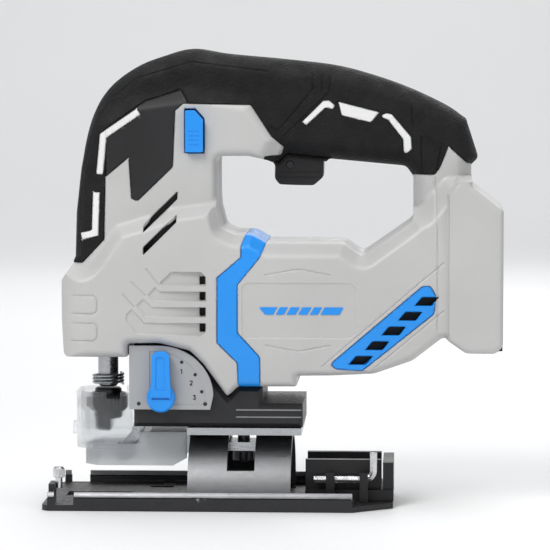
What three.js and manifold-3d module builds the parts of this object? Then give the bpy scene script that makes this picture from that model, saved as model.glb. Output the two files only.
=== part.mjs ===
// Cordless jigsaw, bare tool: no battery and no blade fitted. Millimetres, +Z up.
// -X is the cutting direction, +X the battery end, Y = 0 the parting plane of the housing.
// The origin is on the sole, under the tool, and the shoe tilts about the X axis through it.
import * as THREE from 'three';
import { mergeVertices } from 'three/addons/utils/BufferGeometryUtils.js';
import Module from 'manifold-3d';

const wasm = await Module();
wasm.setup();

// ---- driving dimensions ----
const GAP = 0.3; // between two pieces that touch
const THROUGH = 60; // half length of a cutter that passes through the whole width
const WALL = 4.5; // moulded shell, overmould included
const COVER = 2; // overmould on the grip and the front
const INLAY = 1.6; // coloured band let into the shell
const GRIP_HALF = 19;
const PILLAR_HALF = 25;
const BODY_HALF = 34;
const FOOT_HALF = 36;
const CASE_HALF = 27; // gear case

const BLADE_X = -54; // plunger and blade axis
const STROKE = 20;
const LIGHT_X = -66.6;
const PLUNGER_R = 5;

const MOTOR_Z = 93.5;
const MOTOR_R = 20;
const MODULE = 1.25;
const PINION_TEETH = 8;
const GEAR_TEETH = 34;
const CRANK = STROKE / 2;
const GEAR_Z = MOTOR_Z + (MODULE * (PINION_TEETH + GEAR_TEETH)) / 2;

const SOLE = 2.6; // shoe plate
const SHOE_HALF = 39;
const FLANGE_TOP = 8.8;
const DOME_R = 34.3; // tilt dome, centred on the tilt axis
const DOME_WALL = 3.3;
const SCREW_X = 11.6; // tilt clamp screw

// ---- solids ----
function solid(geometry) {
  const bare = geometry.index ? geometry.toNonIndexed() : geometry;
  bare.deleteAttribute('normal');
  bare.deleteAttribute('uv');
  const merged = mergeVertices(bare, 1e-4);
  return new wasm.Manifold(new wasm.Mesh({
    numProp: 3,
    vertProperties: new Float32Array(merged.attributes.position.array),
    triVerts: new Uint32Array(merged.index.array),
  }));
}

function geometryOf(manifold) {
  const mesh = manifold.getMesh();
  const geometry = new THREE.BufferGeometry();
  geometry.setAttribute('position', new THREE.BufferAttribute(mesh.vertProperties, 3));
  geometry.setIndex(new THREE.BufferAttribute(mesh.triVerts, 1));
  return geometry;
}

const union = (...solids) => solids.reduce((a, b) => a.add(b));

function box(x0, x1, y0, y1, z0, z1) {
  const geometry = new THREE.BoxGeometry(x1 - x0, y1 - y0, z1 - z0);
  geometry.translate((x0 + x1) / 2, (y0 + y1) / 2, (z0 + z1) / 2);
  return solid(geometry);
}

const TURN = {
  x: (g) => g.rotateZ(-Math.PI / 2),
  y: (g) => g,
  z: (g) => g.rotateX(Math.PI / 2),
};

// A round bar along an axis, from one coordinate to another; centre gives the other two.
function rod(axis, radius, from, to, centre, sides = 16) {
  const geometry = TURN[axis](new THREE.CylinderGeometry(radius, radius, to - from, sides));
  const middle = (from + to) / 2;
  const [a, b] = centre;
  const place = { x: [middle, a, b], y: [a, middle, b], z: [a, b, middle] }[axis];
  return solid(geometry.translate(...place));
}

const ring = (axis, outer, inner, from, to, centre, sides = 16) =>
  rod(axis, outer, from, to, centre, sides).subtract(rod(axis, inner, from - 1, to + 1, centre, sides));

// A turned piece on the X axis line of the motor: profile of [radius, x] pairs.
function turnedX(profile, sides = 20) {
  const points = profile.map(([r, x]) => new THREE.Vector2(r, x));
  const geometry = new THREE.LatheGeometry(points, sides);
  geometry.rotateZ(-Math.PI / 2);
  return solid(geometry.translate(0, 0, MOTOR_Z));
}

const shapeOf = (points) => new THREE.Shape(points.map(([a, b]) => new THREE.Vector2(a, b)));

// Side-view outline [x, z] drawn through from y0 to y1.
function prism(points, y0, y1) {
  const geometry = new THREE.ExtrudeGeometry(shapeOf(points), { depth: y1 - y0, bevelEnabled: false });
  return solid(geometry.rotateX(Math.PI / 2).translate(0, y1, 0));
}

// Side-view outline as thick as 2 * half, with chamfered edges all round.
function slab(points, half, chamferDepth, chamferSize) {
  const geometry = new THREE.ExtrudeGeometry(shapeOf(points), {
    depth: 2 * (half - chamferDepth),
    bevelEnabled: true,
    bevelThickness: chamferDepth,
    bevelSize: chamferSize,
    bevelOffset: -chamferSize,
    bevelSegments: 1,
  });
  return solid(geometry.rotateX(Math.PI / 2).translate(0, half - chamferDepth, 0));
}

// Plan outline [x, y] from z0 up to z1.
function plan(points, z0, z1) {
  const geometry = new THREE.ExtrudeGeometry(shapeOf(points), { depth: z1 - z0, bevelEnabled: false });
  return solid(geometry.translate(0, 0, z0));
}

// A round wire along a smooth line through the points.
function wire(points, radius, steps, sides) {
  const section = new THREE.Shape();
  section.absarc(0, 0, radius, 0, 2 * Math.PI, false);
  const extrudePath = new THREE.CatmullRomCurve3(points);
  return solid(new THREE.ExtrudeGeometry(section, { steps, curveSegments: sides, bevelEnabled: false, extrudePath }));
}

// Outline in the YZ plane [y, z] drawn through from x0 to x1.
function across(shape, x0, x1) {
  const geometry = new THREE.ExtrudeGeometry(shape, { depth: x1 - x0, bevelEnabled: false, curveSegments: 24 });
  const turn = new THREE.Matrix4().makeBasis(
    new THREE.Vector3(0, 1, 0), new THREE.Vector3(0, 0, 1), new THREE.Vector3(1, 0, 0));
  return solid(geometry.applyMatrix4(turn).translate(x0, 0, 0));
}

// The outline moved inwards by a distance (outwards where it is negative).
function inset(points, distance) {
  const loop = points.map(([x, y]) => new THREE.Vector2(x, y));
  const side = Math.sign(THREE.ShapeUtils.area(loop)) * distance;
  return loop.map((p, i) => {
    const before = p.clone().sub(loop.at(i - 1)).normalize();
    const after = loop[(i + 1) % loop.length].clone().sub(p).normalize();
    const turn = 1 + before.dot(after);
    return [
      p.x - (side * (before.y + after.y)) / turn,
      p.y + (side * (before.x + after.x)) / turn,
    ];
  });
}

const mirrored = (points) => [...points, ...points.map(([x, y]) => [x, -y]).reverse()];

// ---- side-view outlines [x, z] of the housing ----
function backOfHandle() {
  const curve = new THREE.SplineCurve([
    [-60.5, 184], [-52.5, 198.5], [-39.5, 208.5], [-13, 218.5], [5, 215.5], [55, 210], [90, 199.5], [118, 185],
  ].map(([x, z]) => new THREE.Vector2(x, z)));
  return curve.getPoints(12).map((p) => [p.x, p.y]);
}

const UNDERSIDE = [
  [107.5, 82.2], [93, 71], [75, 64.7], [38.4, 63.5], [38.4, 58.2], [10.6, 58.2], [5.4, 53.2],
  [-6, 69], [-12.4, 75.2], [-27, 78.8], [-41.7, 78.5], [-41.7, 72],
];
const NOSE = [[-72.5, 72], [-74, 108], [-68, 116]];
const SILHOUETTE = [...NOSE, [-65.5, 160.5], ...backOfHandle(), [124, 166], [112, 155], ...UNDERSIDE];
const BARREL = [
  [-72, 72.4], [-73.4, 108], [-67, 117.5], [-52, 140], [-2, 141], [6, 131], [17, 130], [24, 126], [60, 126],
  [69, 119.5], [93, 136], [107, 148], [120, 152], [120, 79],
  ...UNDERSIDE,
];
const PILLAR = [
  [-66.4, 112], [-64, 160.5], [-59, 184], [-42, 195], [14, 194], [27, 176], [12, 163], [1, 158], [1, 120],
];
const FOOT = [[107.5, 82], [118, 74.8], [131.5, 74.6], [135.6, 78], [135.6, 142], [120.5, 154], [107.5, 154]];
const FINGER_GAP = [
  [0, 143], [0, 167], [15, 167], [28.5, 163], [33, 167], [51.5, 165.5], [89.5, 162], [93, 157], [93, 136],
  [69, 119.5], [60, 126], [24, 126], [17, 130], [8.5, 130], [2.5, 133],
];

// The housing's outer form, everywhere moved inwards by a depth.
function form(depth) {
  const layer = (outline, half, chamfer, size) =>
    slab(inset(outline, depth), half - depth, chamfer, size - 0.3 * depth);
  const whole = union(
    layer(SILHOUETTE, GRIP_HALF, 7, 5),
    layer(PILLAR, PILLAR_HALF, 6, 5),
    layer(BARREL, BODY_HALF, 6, 4.5),
    layer(FOOT, FOOT_HALF, 3, 3),
  );
  return whole.subtract(prism(inset(FINGER_GAP, -depth), -THROUGH, THROUGH));
}

const OUTER = form(0);
const UNDER_COVER = form(COVER);
const UNDER_INLAY = form(INLAY);
const CAVITY = form(WALL).subtract(box(120, 160, -THROUGH, THROUGH, 60, 180));

// ---- colour regions of the housing, side view ----
const COVER_REGION = [
  [-90, 116], [-64, 116], [-53.4, 127], [-52.5, 157.5], [-41, 167], [-39, 144.5], [-20.5, 162], [-19, 189],
  [-15, 192], [16, 191.5], [26, 176], [33.4, 169.5], [28, 160], [28, 145], [88, 145], [92, 158], [104, 158],
  [110, 172], [118, 164], [140, 164], [140, 235], [-90, 235],
];
const BAND_REGION = [
  [18, 138], [12, 125], [12, 120], [0.8, 110], [0.8, 79.5], [10.5, 69.7], [10.8, 52],
  [21.2, 52], [21, 72.8], [10.5, 84.2], [10.5, 107], [21, 120], [25, 129], [29, 138],
];
const GRILLE_REGION = [[98, 106], [101.3, 106], [103.7, 102], [103, 94], [69, 66.5], [57, 67], [54.5, 69.5]];
const HALF = { left: box(-200, 200, -60, -GAP / 2, -50, 300), right: box(-200, 200, GAP / 2, 60, -50, 300) };

const inlaid = (region, under, side) =>
  OUTER.subtract(under).intersect(prism(region, -THROUGH, THROUGH)).intersect(HALF[side]);

// ---- openings cut in both shells ----
function louvres() {
  const rows = [86, 93.5, 101, 108.5];
  const halfHeight = 1.3;
  return union(...rows.map((z) => box(-34, -6, -THROUGH, THROUGH, z - halfHeight, z + halfHeight)));
}

function slantedSlots() {
  const slot = [[-33.5, 131.5], [-18.5, 146], [-18.5, 149.5], [-33.5, 135]];
  return union(...[0, -10.5].map((drop) => prism(slot.map(([x, z]) => [x, z + drop]), -THROUGH, THROUGH)));
}

function grilleSlots() {
  const [slotLength, slotHeight, lean] = [5, 4.2, 3.12];
  const [firstX, firstZ, stepX, stepZ] = [61.5, 70.2, 8.4, 6.9];
  const bars = [0, 1, 2, 3, 4].map((i) => {
    const [x, z] = [firstX + stepX * i, firstZ + stepZ * i];
    const top = z + slotHeight;
    const slot = [[x, z], [x + slotLength, z], [x + slotLength + lean, top], [x + lean, top]];
    return prism(slot, -THROUGH, THROUGH);
  });
  return union(...bars);
}

function batteryChannel() {
  const [railHalf, lipHalf, terminalHalf, top] = [31, 27, 21, 139];
  return union(
    box(127, 133, -railHalf, railHalf, 60, top),
    box(132.9, 150, -lipHalf, lipHalf, 60, top),
    box(115, 127.1, -terminalHalf, terminalHalf, 92, top),
  );
}

const LOCK_OUTLINE = [[-14.5, 169], [-6, 169], [-6, 184.5], [-10, 189], [-14.5, 189]];
const BOSSES = [[-48, 186], [-12, 152], [92, 80.5], [100, 122], [15, 197]];
const BOSS_R = 4;
const COUNTERBORE_R = 3.6;
const COUNTERBORE_FLOOR = 11; // from the parting plane

function cutouts() {
  const grilleSeat = inset(GRILLE_REGION, -GAP);
  return union(
    louvres(), slantedSlots(), batteryChannel(),
    prism(inset(LOCK_OUTLINE, -GAP), -THROUGH, THROUGH),
    prism(grilleSeat, -THROUGH, -20), prism(grilleSeat, 20, THROUGH),
    box(24, 54.5, -9.3, 9.3, 148, 182),
    rod('z', 7.8, 60, 80, [BLADE_X, 0]),
    rod('z', 2.6, 60, 80, [LIGHT_X, 0], 12),
  );
}

// The groove that a coloured region's piece lies in.
const groove = (region, depth) =>
  OUTER.subtract(form(depth + 2 * GAP)).intersect(prism(inset(region, -GAP), -THROUGH, THROUGH));

function shell(side) {
  const atBosses = (radius, from, to, sides) =>
    union(...BOSSES.map((place) => rod('y', radius, from, to, place, sides)));
  const bosses = atBosses(BOSS_R, -THROUGH, THROUGH, 10).intersect(form(WALL - 1));
  const screwHoles = atBosses(1.9, side === 'left' ? -12 : -1, THROUGH, 8);
  const skin = OUTER.subtract(CAVITY).subtract(groove(COVER_REGION, COVER)).subtract(groove(BAND_REGION, INLAY));
  let half = skin.add(bosses).subtract(cutouts()).subtract(screwHoles);
  if (side === 'right') half = half.subtract(atBosses(COUNTERBORE_R, COUNTERBORE_FLOOR, THROUGH, 10));
  return half.intersect(HALF[side]);
}

function grille(side) {
  const reach = side === 'left' ? box(0, 200, -60, -24, 0, 200) : box(0, 200, 24, 60, 0, 200);
  return inlaid(GRILLE_REGION, form(3.2), side).intersect(reach).subtract(grilleSlots());
}

// ---- controls in the handle ----
const TRIGGER_PIN = [34.2, 162.5];

function trigger() {
  const outline = [[27.5, 170.5], [27, 156], [29, 153], [45.5, 152.6], [50, 156.5], [50.3, 170.5]];
  return slab(outline, 8.5, 1.6, 1.6).subtract(rod('y', 2.3, -20, 20, TRIGGER_PIN, 12));
}

const lockButton = () => slab(LOCK_OUTLINE, 26.5, 1.2, 1.2).translate([0, -2.2, 0]);

function switchBody() {
  const stem = rod('z', 2.2, 175.2, 178.5, [45, 0], 12);
  return union(box(36, 66, -8, 8, 178, 195), box(50, 66, -6, 6, 194, 199), stem);
}

// ---- motor and gear train ----
const motorCan = () => turnedX([
  [4.5, 18], [MOTOR_R - 1, 18], [MOTOR_R, 19], [MOTOR_R, 77], [MOTOR_R - 1, 78], [4.5, 78],
  [4.5, 76], [MOTOR_R - 2, 76], [MOTOR_R - 2, 20], [4.5, 20], [4.5, 18],
]);

const rotor = () => turnedX([
  [0, -42], [2.4, -42], [2.5, 23], [14, 24], [14, 66], [7.5, 67], [7.5, 74], [2.5, 75], [2.5, 86], [0, 86],
], 16);

function fan() {
  const blades = [0, 1, 2, 3, 4, 5, 6, 7].map((i) =>
    box(4.4, 12, -0.8, 0.8, 6, 18).rotate([(i * 360) / 8, 0, 0]).translate([0, 0, MOTOR_Z]));
  const hub = ring('x', 8, 2.8, 3, 14, [0, MOTOR_Z]);
  return union(hub, ring('x', 19, 7, 3, 5, [0, MOTOR_Z]), ...blades);
}

// Spur gear in the YZ plane with slim straight-flanked teeth and easy backlash.
function spurGear(teeth, bore, phase) {
  const pitchR = (MODULE * teeth) / 2;
  const step = (2 * Math.PI) / teeth;
  const shape = new THREE.Shape();
  for (let i = 0; i < teeth; i += 1) {
    const middle = (i + phase) * step;
    const corners = [[-0.3, -0.9], [-0.1, 0.7], [0.1, 0.7], [0.3, -0.9]];
    corners.forEach(([turn, rise]) => {
      const angle = middle + turn * step;
      const r = pitchR + rise * MODULE;
      const point = [r * Math.cos(angle), r * Math.sin(angle)];
      if (i === 0 && turn === -0.3) shape.moveTo(...point);
      else shape.lineTo(...point);
    });
  }
  const hole = new THREE.Path();
  hole.absarc(0, 0, bore, 0, 2 * Math.PI, true);
  shape.holes.push(hole);
  return shape;
}

const pinion = () => across(spurGear(PINION_TEETH, 2.8, 0), -39, -31.5).translate([0, 0, MOTOR_Z]);

function driveGear() {
  const disc = across(spurGear(GEAR_TEETH, 4.3, 0), -38, -32);
  const holes = [60, 120, 180, 240, 300].map((angle) =>
    rod('x', 3, -60, 0, [0, 13], 10).rotate([angle, 0, 0]));
  const hub = ring('x', 8, 4.3, -32.5, -26, [0, 0]);
  const pinHole = rod('x', 2.8, -60, 0, [CRANK, 0], 12);
  return union(disc, hub).subtract(union(...holes, pinHole)).translate([0, 0, GEAR_Z]);
}

const gearAxle = () => rod('x', 4, -40, -18, [0, GEAR_Z]).add(rod('x', 6, -18.5, -9, [0, GEAR_Z]));
const crankPin = () =>
  union(rod('x', 2.5, -42.4, -31, [CRANK, GEAR_Z], 12), rod('x', 4, -42.4, -38.3, [CRANK, GEAR_Z]));

function bearingBracket() {
  const outline = [[-19, 83.5], [19, 83.5], [24, 92], [24, 126], [16, 140], [-16, 140], [-24, 126], [-24, 92]];
  return across(shapeOf(outline), -17.5, -10)
    .subtract(rod('x', 8.8, -30, 0, [0, MOTOR_Z]))
    .subtract(rod('x', 6.3, -30, 0, [0, GEAR_Z]));
}

const bearing = (x0, x1, outer) => ring('x', outer, 2.8, x0, x1, [0, MOTOR_Z]);

// ---- plunger, yoke and blade clamp ----
const plunger = () => rod('z', PLUNGER_R, 55, 158, [BLADE_X, 0]);

function yoke() {
  const plate = box(-47.7, -42.8, -18.5, 18.5, GEAR_Z - 9, GEAR_Z + 9);
  const slot = box(-60, -40, -CRANK - 4.4, CRANK + 4.4, GEAR_Z - 4.4, GEAR_Z + 4.4);
  const collar = box(-61.3, -47, -8.5, 8.5, GEAR_Z - 8, GEAR_Z + 8);
  return plate.subtract(slot).add(collar).subtract(rod('z', PLUNGER_R + GAP, 60, 200, [BLADE_X, 0]));
}

function guideBlock(z0, z1, x0, halfWidth) {
  const bore = rod('z', PLUNGER_R + GAP, z0 - 1, z1 + 1, [BLADE_X, 0]);
  return box(x0, BLADE_X + 8, -halfWidth, halfWidth, z0, z1).subtract(bore);
}

const lowerBush = () => ring('z', 7.5, PLUNGER_R + GAP, 72.4, 86, [BLADE_X, 0]);

function clampBody() {
  const body = union(rod('z', 6.5, 34, 54.6, [BLADE_X, 0]), rod('z', 7, 40, 43, [BLADE_X, 0]));
  const bladeSlot = box(BLADE_X - 4.5, BLADE_X + 4.5, -0.9, 0.9, 20, 50);
  // The flat clears the guide roller at the lowest stroke.
  const rollerFlat = box(BLADE_X + 1.6, BLADE_X + 10, -10, 10, 30, 39.8);
  return body.subtract(bladeSlot).subtract(rollerFlat);
}

function clampCollar() {
  const lug = box(BLADE_X - 12.5, BLADE_X - 8, -2.5, 2.5, 45, 50);
  const reach = rod('z', 10.3, 40, 60, [BLADE_X, 0]);
  return ring('z', 9.5, 6.9, 43.5, 52, [BLADE_X, 0], 20).add(lug.intersect(reach));
}

function clampSpring() {
  const [turns, perTurn, coilR, wireR, bottom, rise] = [3, 10, 7.2, 0.7, 56.2, 4.9];
  const steps = turns * perTurn;
  const points = Array.from({ length: steps + 1 }, (_, i) => {
    const angle = (i * 2 * Math.PI) / perTurn;
    return new THREE.Vector3(BLADE_X + coilR * Math.cos(angle), coilR * Math.sin(angle), bottom + (i * rise) / steps);
  });
  return wire(points, wireR, steps, 5);
}

// ---- pendulum action ----
const FORK_PIVOT = [-36, 44];
const ROLLER = [-46, 24];
const LEVER_HUB = [-25.8, 53.1];

function rollerFork() {
  const cheek = [
    [-33, 53], [-39, 53], [-40, 42], [-42.5, 33], [-49.3, 26], [-48.6, 21.8], [-46, 20.5], [-42.5, 23], [-33, 41],
  ];
  const rollerRoom = box(-54, -40, -4.6, 4.6, 15, 31);
  const pinHoles = union(rod('y', 2.3, -20, 20, FORK_PIVOT, 12), rod('y', 1.8, -20, 20, ROLLER, 12));
  return prism(cheek, -6.5, 6.5).subtract(rollerRoom).subtract(pinHoles);
}

function guideRoller() {
  const bladeGroove = ring('y', 7, 4.2, -0.8, 0.8, ROLLER, 20);
  return ring('y', 5, 1.8, -4.2, 4.2, ROLLER, 20).subtract(bladeGroove);
}

const rollerPin = () => rod('y', 1.5, -7, 7, ROLLER, 12);
const forkPin = () => rod('y', 2, -13, 13, FORK_PIVOT, 12);

function leverShaft() {
  const cam = rod('y', 4, -6, 6, LEVER_HUB, 12);
  return rod('y', 3, -29.9, -5.5, LEVER_HUB, 12).add(cam);
}

function orbitalLever() {
  const [x, z] = LEVER_HUB;
  const arm = [
    [x - 5, z], [x - 4.2, z + 20.5], [x - 2.2, z + 22.3], [x + 2.2, z + 22.3], [x + 4.2, z + 20.5], [x + 5, z],
  ];
  const hub = rod('y', 6.8, -35, -30.3, LEVER_HUB, 20);
  return union(hub, prism(arm, -36, -31.4));
}

function dialPlate() {
  const arc = new THREE.EllipseCurve(-27, 53.5, 26, 24.3, 0.04, Math.PI / 2, false);
  const outline = [[-41.3, 77.7], [-41.3, 47.1], [-2.5, 47.1], ...arc.getPoints(8).map((p) => [p.x, p.y])];
  return prism(outline, -30, -CASE_HALF - GAP).subtract(rod('y', 3.4, -60, 0, LEVER_HUB, 12));
}

// ---- gear case and the shoe's tilt clamp ----
function gearCase() {
  const outline = [
    [-39.2, 38.6], [41, 38.6], [41, 50], [22, 50], [22, 57.8], [10.4, 57.8], [5.4, 52.6], [1, 58],
    [-6.4, 68.5], [-12.8, 74.7], [-27, 78.3], [-39.2, 78.1],
  ];
  const cavity = box(-34, -9, -22, 22, 60, 90).intersect(prism(inset(outline, 4), -22, 22));
  const mouth = box(-30, -16, -22, 22, 70, 90);
  return slab(outline, CASE_HALF, 2, 2)
    .subtract(cavity)
    .subtract(mouth)
    .subtract(box(-50, -17, -7.2, 7.2, 30, 61))
    .subtract(rod('y', 3.4, -60, 0, LEVER_HUB, 12))
    .subtract(rod('y', 2.3, -13.5, 13.5, FORK_PIVOT, 12))
    .subtract(rod('z', 3.3, 30, 48, [SCREW_X, 0], 12));
}

const screwPassage = () => rod('z', 3.4, 20, 40, [SCREW_X, 0], 12);
const saddlePlate = () => box(-14, 40.4, -26.5, 26.5, 34.8, 38.2).subtract(screwPassage());
const clampPlate = () => box(0.5, 22.7, -9, 9, 25, 29.1).subtract(screwPassage());

function clampScrew() {
  const head = rod('z', 5.5, 19, 24.6, [SCREW_X, 0], 12).subtract(rod('z', 2.6, 15, 22.5, [SCREW_X, 0], 6));
  return head.add(rod('z', 3, 24.4, 46, [SCREW_X, 0], 12));
}

function tiltDome() {
  const band = new THREE.Shape();
  band.absarc(0, 0, DOME_R, 0, Math.PI, false);
  band.absarc(0, 0, DOME_R - DOME_WALL, Math.PI, 0, true);
  const screwPath = box(5, 18.3, -30, 30, 18, 50); // the clamp screw's way over 45 degrees each side
  return across(band, -13.6, 35.6)
    .intersect(box(-50, 50, -50, 50, SOLE + GAP, 50))
    .subtract(screwPath);
}

// ---- shoe ----
const SHOE_PLAN = mirrored([[-82.3, -36], [-79.5, -SHOE_HALF], [65, -SHOE_HALF], [84, -24]]);
const FLANGE = 2.2;
const FENCE_SCREW = [-75, -28];
const NOTCH = [-76, -67];

function shoe() {
  const fenceNotch = box(...NOTCH, -THROUGH, THROUGH, SOLE, 20);
  const flange = (y0, y1) => box(-79.5, 65, y0, y1, 0, FLANGE_TOP).subtract(fenceNotch);
  const window = plan(mirrored([[-74, -6.5], [-44, -6.5], [-42, -4]]), -1, 5);
  const bridge = union(
    box(-79.4, -76.8, -34, -22, 1, 12), box(-79.4, -72, -34, -22, 9.2, 12),
  ).subtract(rod('z', 2.1, 8, 14, FENCE_SCREW, 12));
  return plan(SHOE_PLAN, 0, SOLE)
    .subtract(window)
    .subtract(rod('z', 7, -1, 5, [SCREW_X, 0], 20))
    .add(flange(-SHOE_HALF, -SHOE_HALF + FLANGE))
    .add(flange(SHOE_HALF - FLANGE, SHOE_HALF))
    .add(bridge);
}

const fenceScrew = () => union(rod('z', 1.8, 9.2, 16, FENCE_SCREW, 12), rod('z', 2.9, 14, 19.5, FENCE_SCREW, 12));

function keyHolder() {
  const tray = box(42, 84, -20, 20, 2.9, 8);
  const rails = union(box(42, 78, -16, -12, 2.9, 22), box(42, 78, 12, 16, 2.9, 22), tray);
  const teeth = [0, 1, 2].map((i) => box(79 + 1.7 * i, 84, -18, 18, 2.9, 21 - 4 * i));
  const clips = [52, 68].map((x) => box(x, x + 4, -24, -12, 2.9, 10.4).add(box(x, x + 4, -24, -22.6, 10, 16.5)));
  return union(rails, ...teeth, ...clips);
}

function hexKey() {
  const long = rod('x', 2, 46, 74.5, [-19.4, 13], 6);
  return long.add(rod('z', 2, 11, 26, [74.5, -19.4], 6));
}

// ---- guards and light ----
function chipGuard() {
  const outer = mirrored([[-40.9, -17], [-62, -17], [-68.6, -10]]);
  const inner = mirrored([[-39, -14.8], [-61, -14.8], [-66.4, -9]]);
  const screen = plan(outer, 26.4, 53.7).subtract(plan(inner, 20, 60));
  return screen.add(box(-71, -68, -4, 4, 32, 38));
}

function dustCover() {
  const outer = mirrored([[-15, -12.5], [-58, -12.5], [-64.5, -6]]);
  const inner = mirrored([[-13, -10.9], [-57.4, -10.9], [-62.9, -5.4]]);
  const low = plan(outer, 18, 28.5);
  const high = plan(mirrored([[-15, -12.5], [-37, -12.5], [-40.5, -9]]), 18, 34.4);
  return low.add(high).subtract(plan(inner, 10, 32.8)).subtract(box(-70, -33, -10.9, 10.9, 28, 40));
}

const workLight = () => rod('z', 2.3, 70.8, 80, [LIGHT_X, 0], 12);

// ---- electrical pieces ----
const terminalBlock = () => union(box(115.4, 126.6, -20.6, 20.6, 92.4, 138.6), box(112, 116, -12, 12, 100, 130));
const contact = (y) => box(126.9, 132.4, y - 0.6, y + 0.6, 104, 128);
const controllerBoard = () => union(box(88, 89.8, -19, 19, 87, 112), box(89.7, 94, -8, 8, 92, 106));

function lead(y) {
  const route = [
    [110.3, 132], [106.5, 139], [103, 149], [102.5, 160], [102, 172], [95, 184], [82, 190], [66.8, 188],
  ];
  return wire(route.map(([x, z]) => new THREE.Vector3(x, y, z)), 1.3, 16, 6);
}

function housingScrew(x, z) {
  const head = rod('y', 3.2, 11.4, 13.4, [x, z], 10);
  return rod('y', 1.6, -10, 12, [x, z], 8).add(head);
}

// ---- materials ----
const finish = (color, roughness, metalness = 0) => new THREE.MeshStandardMaterial({ color, roughness, metalness });
const LIGHT_SHELL = finish('#cdcdcd', 0.5);
const RUBBER = finish('#232325', 0.85);
const BLUE = finish('#2f9bf0', 0.45);
const BLACK_PLASTIC = finish('#1c1c1e', 0.6);
const CAST = finish('#26272a', 0.55, 0.4);
const GREY_CAST = finish('#8a8c8f', 0.4, 0.8);
const STEEL = finish('#b4b7bb', 0.3, 1);
const DARK_STEEL = finish('#4a4c50', 0.4, 1);
const DIAL = finish('#a9aaac', 0.5);
const CLEAR = finish('#d7dde2', 0.1);
const COPPER = finish('#b4703c', 0.35, 1);
const BOARD = finish('#1f5a35', 0.6);

// ---- assembly ----
const jigsaw = new THREE.Group();

function add(name, manifold, material) {
  const mesh = new THREE.Mesh(geometryOf(manifold), material);
  mesh.name = name;
  jigsaw.add(mesh);
}

for (const side of ['left', 'right']) {
  add(`housing_${side}`, shell(side), LIGHT_SHELL);
  add(`grip_cover_${side}`, inlaid(COVER_REGION, UNDER_COVER, side).subtract(cutouts()), RUBBER);
  add(`trim_band_${side}`, inlaid(BAND_REGION, UNDER_INLAY, side), BLUE);
  add(`vent_grille_${side}`, grille(side), BLUE);
}
BOSSES.forEach(([x, z], i) => add(`housing_screw_${i + 1}`, housingScrew(x, z), DARK_STEEL));

add('trigger', trigger(), BLACK_PLASTIC);
add('trigger_pin', rod('y', 2, -9, 9, TRIGGER_PIN, 12), STEEL);
add('switch_body', switchBody(), BLACK_PLASTIC);
add('lock_off_button', lockButton(), BLUE);

add('terminal_block', terminalBlock(), BLACK_PLASTIC);
[-12, 0, 12].forEach((y, i) => add(`contact_${i + 1}`, contact(y), COPPER));
add('controller_board', controllerBoard(), BOARD);
add('lead_positive', lead(-4), finish('#b3221c', 0.6));
add('lead_negative', lead(4), BLACK_PLASTIC);
add('work_light', workLight(), CLEAR);

add('motor_can', motorCan(), DARK_STEEL);
add('motor_rotor', rotor(), STEEL);
add('motor_fan', fan(), BLACK_PLASTIC);
add('motor_pinion', pinion(), STEEL);
add('front_bearing', bearing(-17, -10.5, 8.5), STEEL);
add('rear_bearing', bearing(78.6, 84.5, 8), STEEL);
add('bearing_bracket', bearingBracket(), GREY_CAST);
add('drive_gear', driveGear(), DARK_STEEL);
add('gear_axle', gearAxle(), STEEL);
add('crank_pin', crankPin(), STEEL);

add('plunger', plunger(), STEEL);
add('yoke', yoke(), DARK_STEEL);
add('upper_guide', guideBlock(143, 150, -59.8, 12), GREY_CAST);
add('lower_bush', lowerBush(), STEEL);
add('clamp_body', clampBody(), DARK_STEEL);
add('clamp_collar', clampCollar(), BLACK_PLASTIC);
add('clamp_spring', clampSpring(), STEEL);

add('roller_fork', rollerFork(), STEEL);
add('fork_pin', forkPin(), STEEL);
add('guide_roller', guideRoller(), STEEL);
add('roller_pin', rollerPin(), DARK_STEEL);
add('orbital_lever', orbitalLever(), BLUE);
add('lever_shaft', leverShaft(), STEEL);
add('dial_plate', dialPlate(), DIAL);

add('gear_case', gearCase(), CAST);
add('saddle_plate', saddlePlate(), STEEL);
add('clamp_plate', clampPlate(), STEEL);
add('tilt_screw', clampScrew(), DARK_STEEL);
add('chip_guard', chipGuard(), CLEAR);
add('dust_cover', dustCover(), CLEAR);

add('tilt_dome', tiltDome(), GREY_CAST);
add('shoe', shoe(), BLACK_PLASTIC);
add('fence_screw', fenceScrew(), STEEL);
add('key_holder', keyHolder(), BLACK_PLASTIC);
add('hex_key', hexKey(), STEEL);

export default jigsaw;
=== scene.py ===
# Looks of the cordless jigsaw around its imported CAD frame. Outlines are in millimetres, in the
# frame's own axes: x towards the battery end, y across (the left side is -y), z up from the sole.
import math

import bmesh
import bpy
import numpy as np
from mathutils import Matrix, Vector
from mathutils.geometry import delaunay_2d_cdt
from mathutils.kdtree import KDTree


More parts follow.
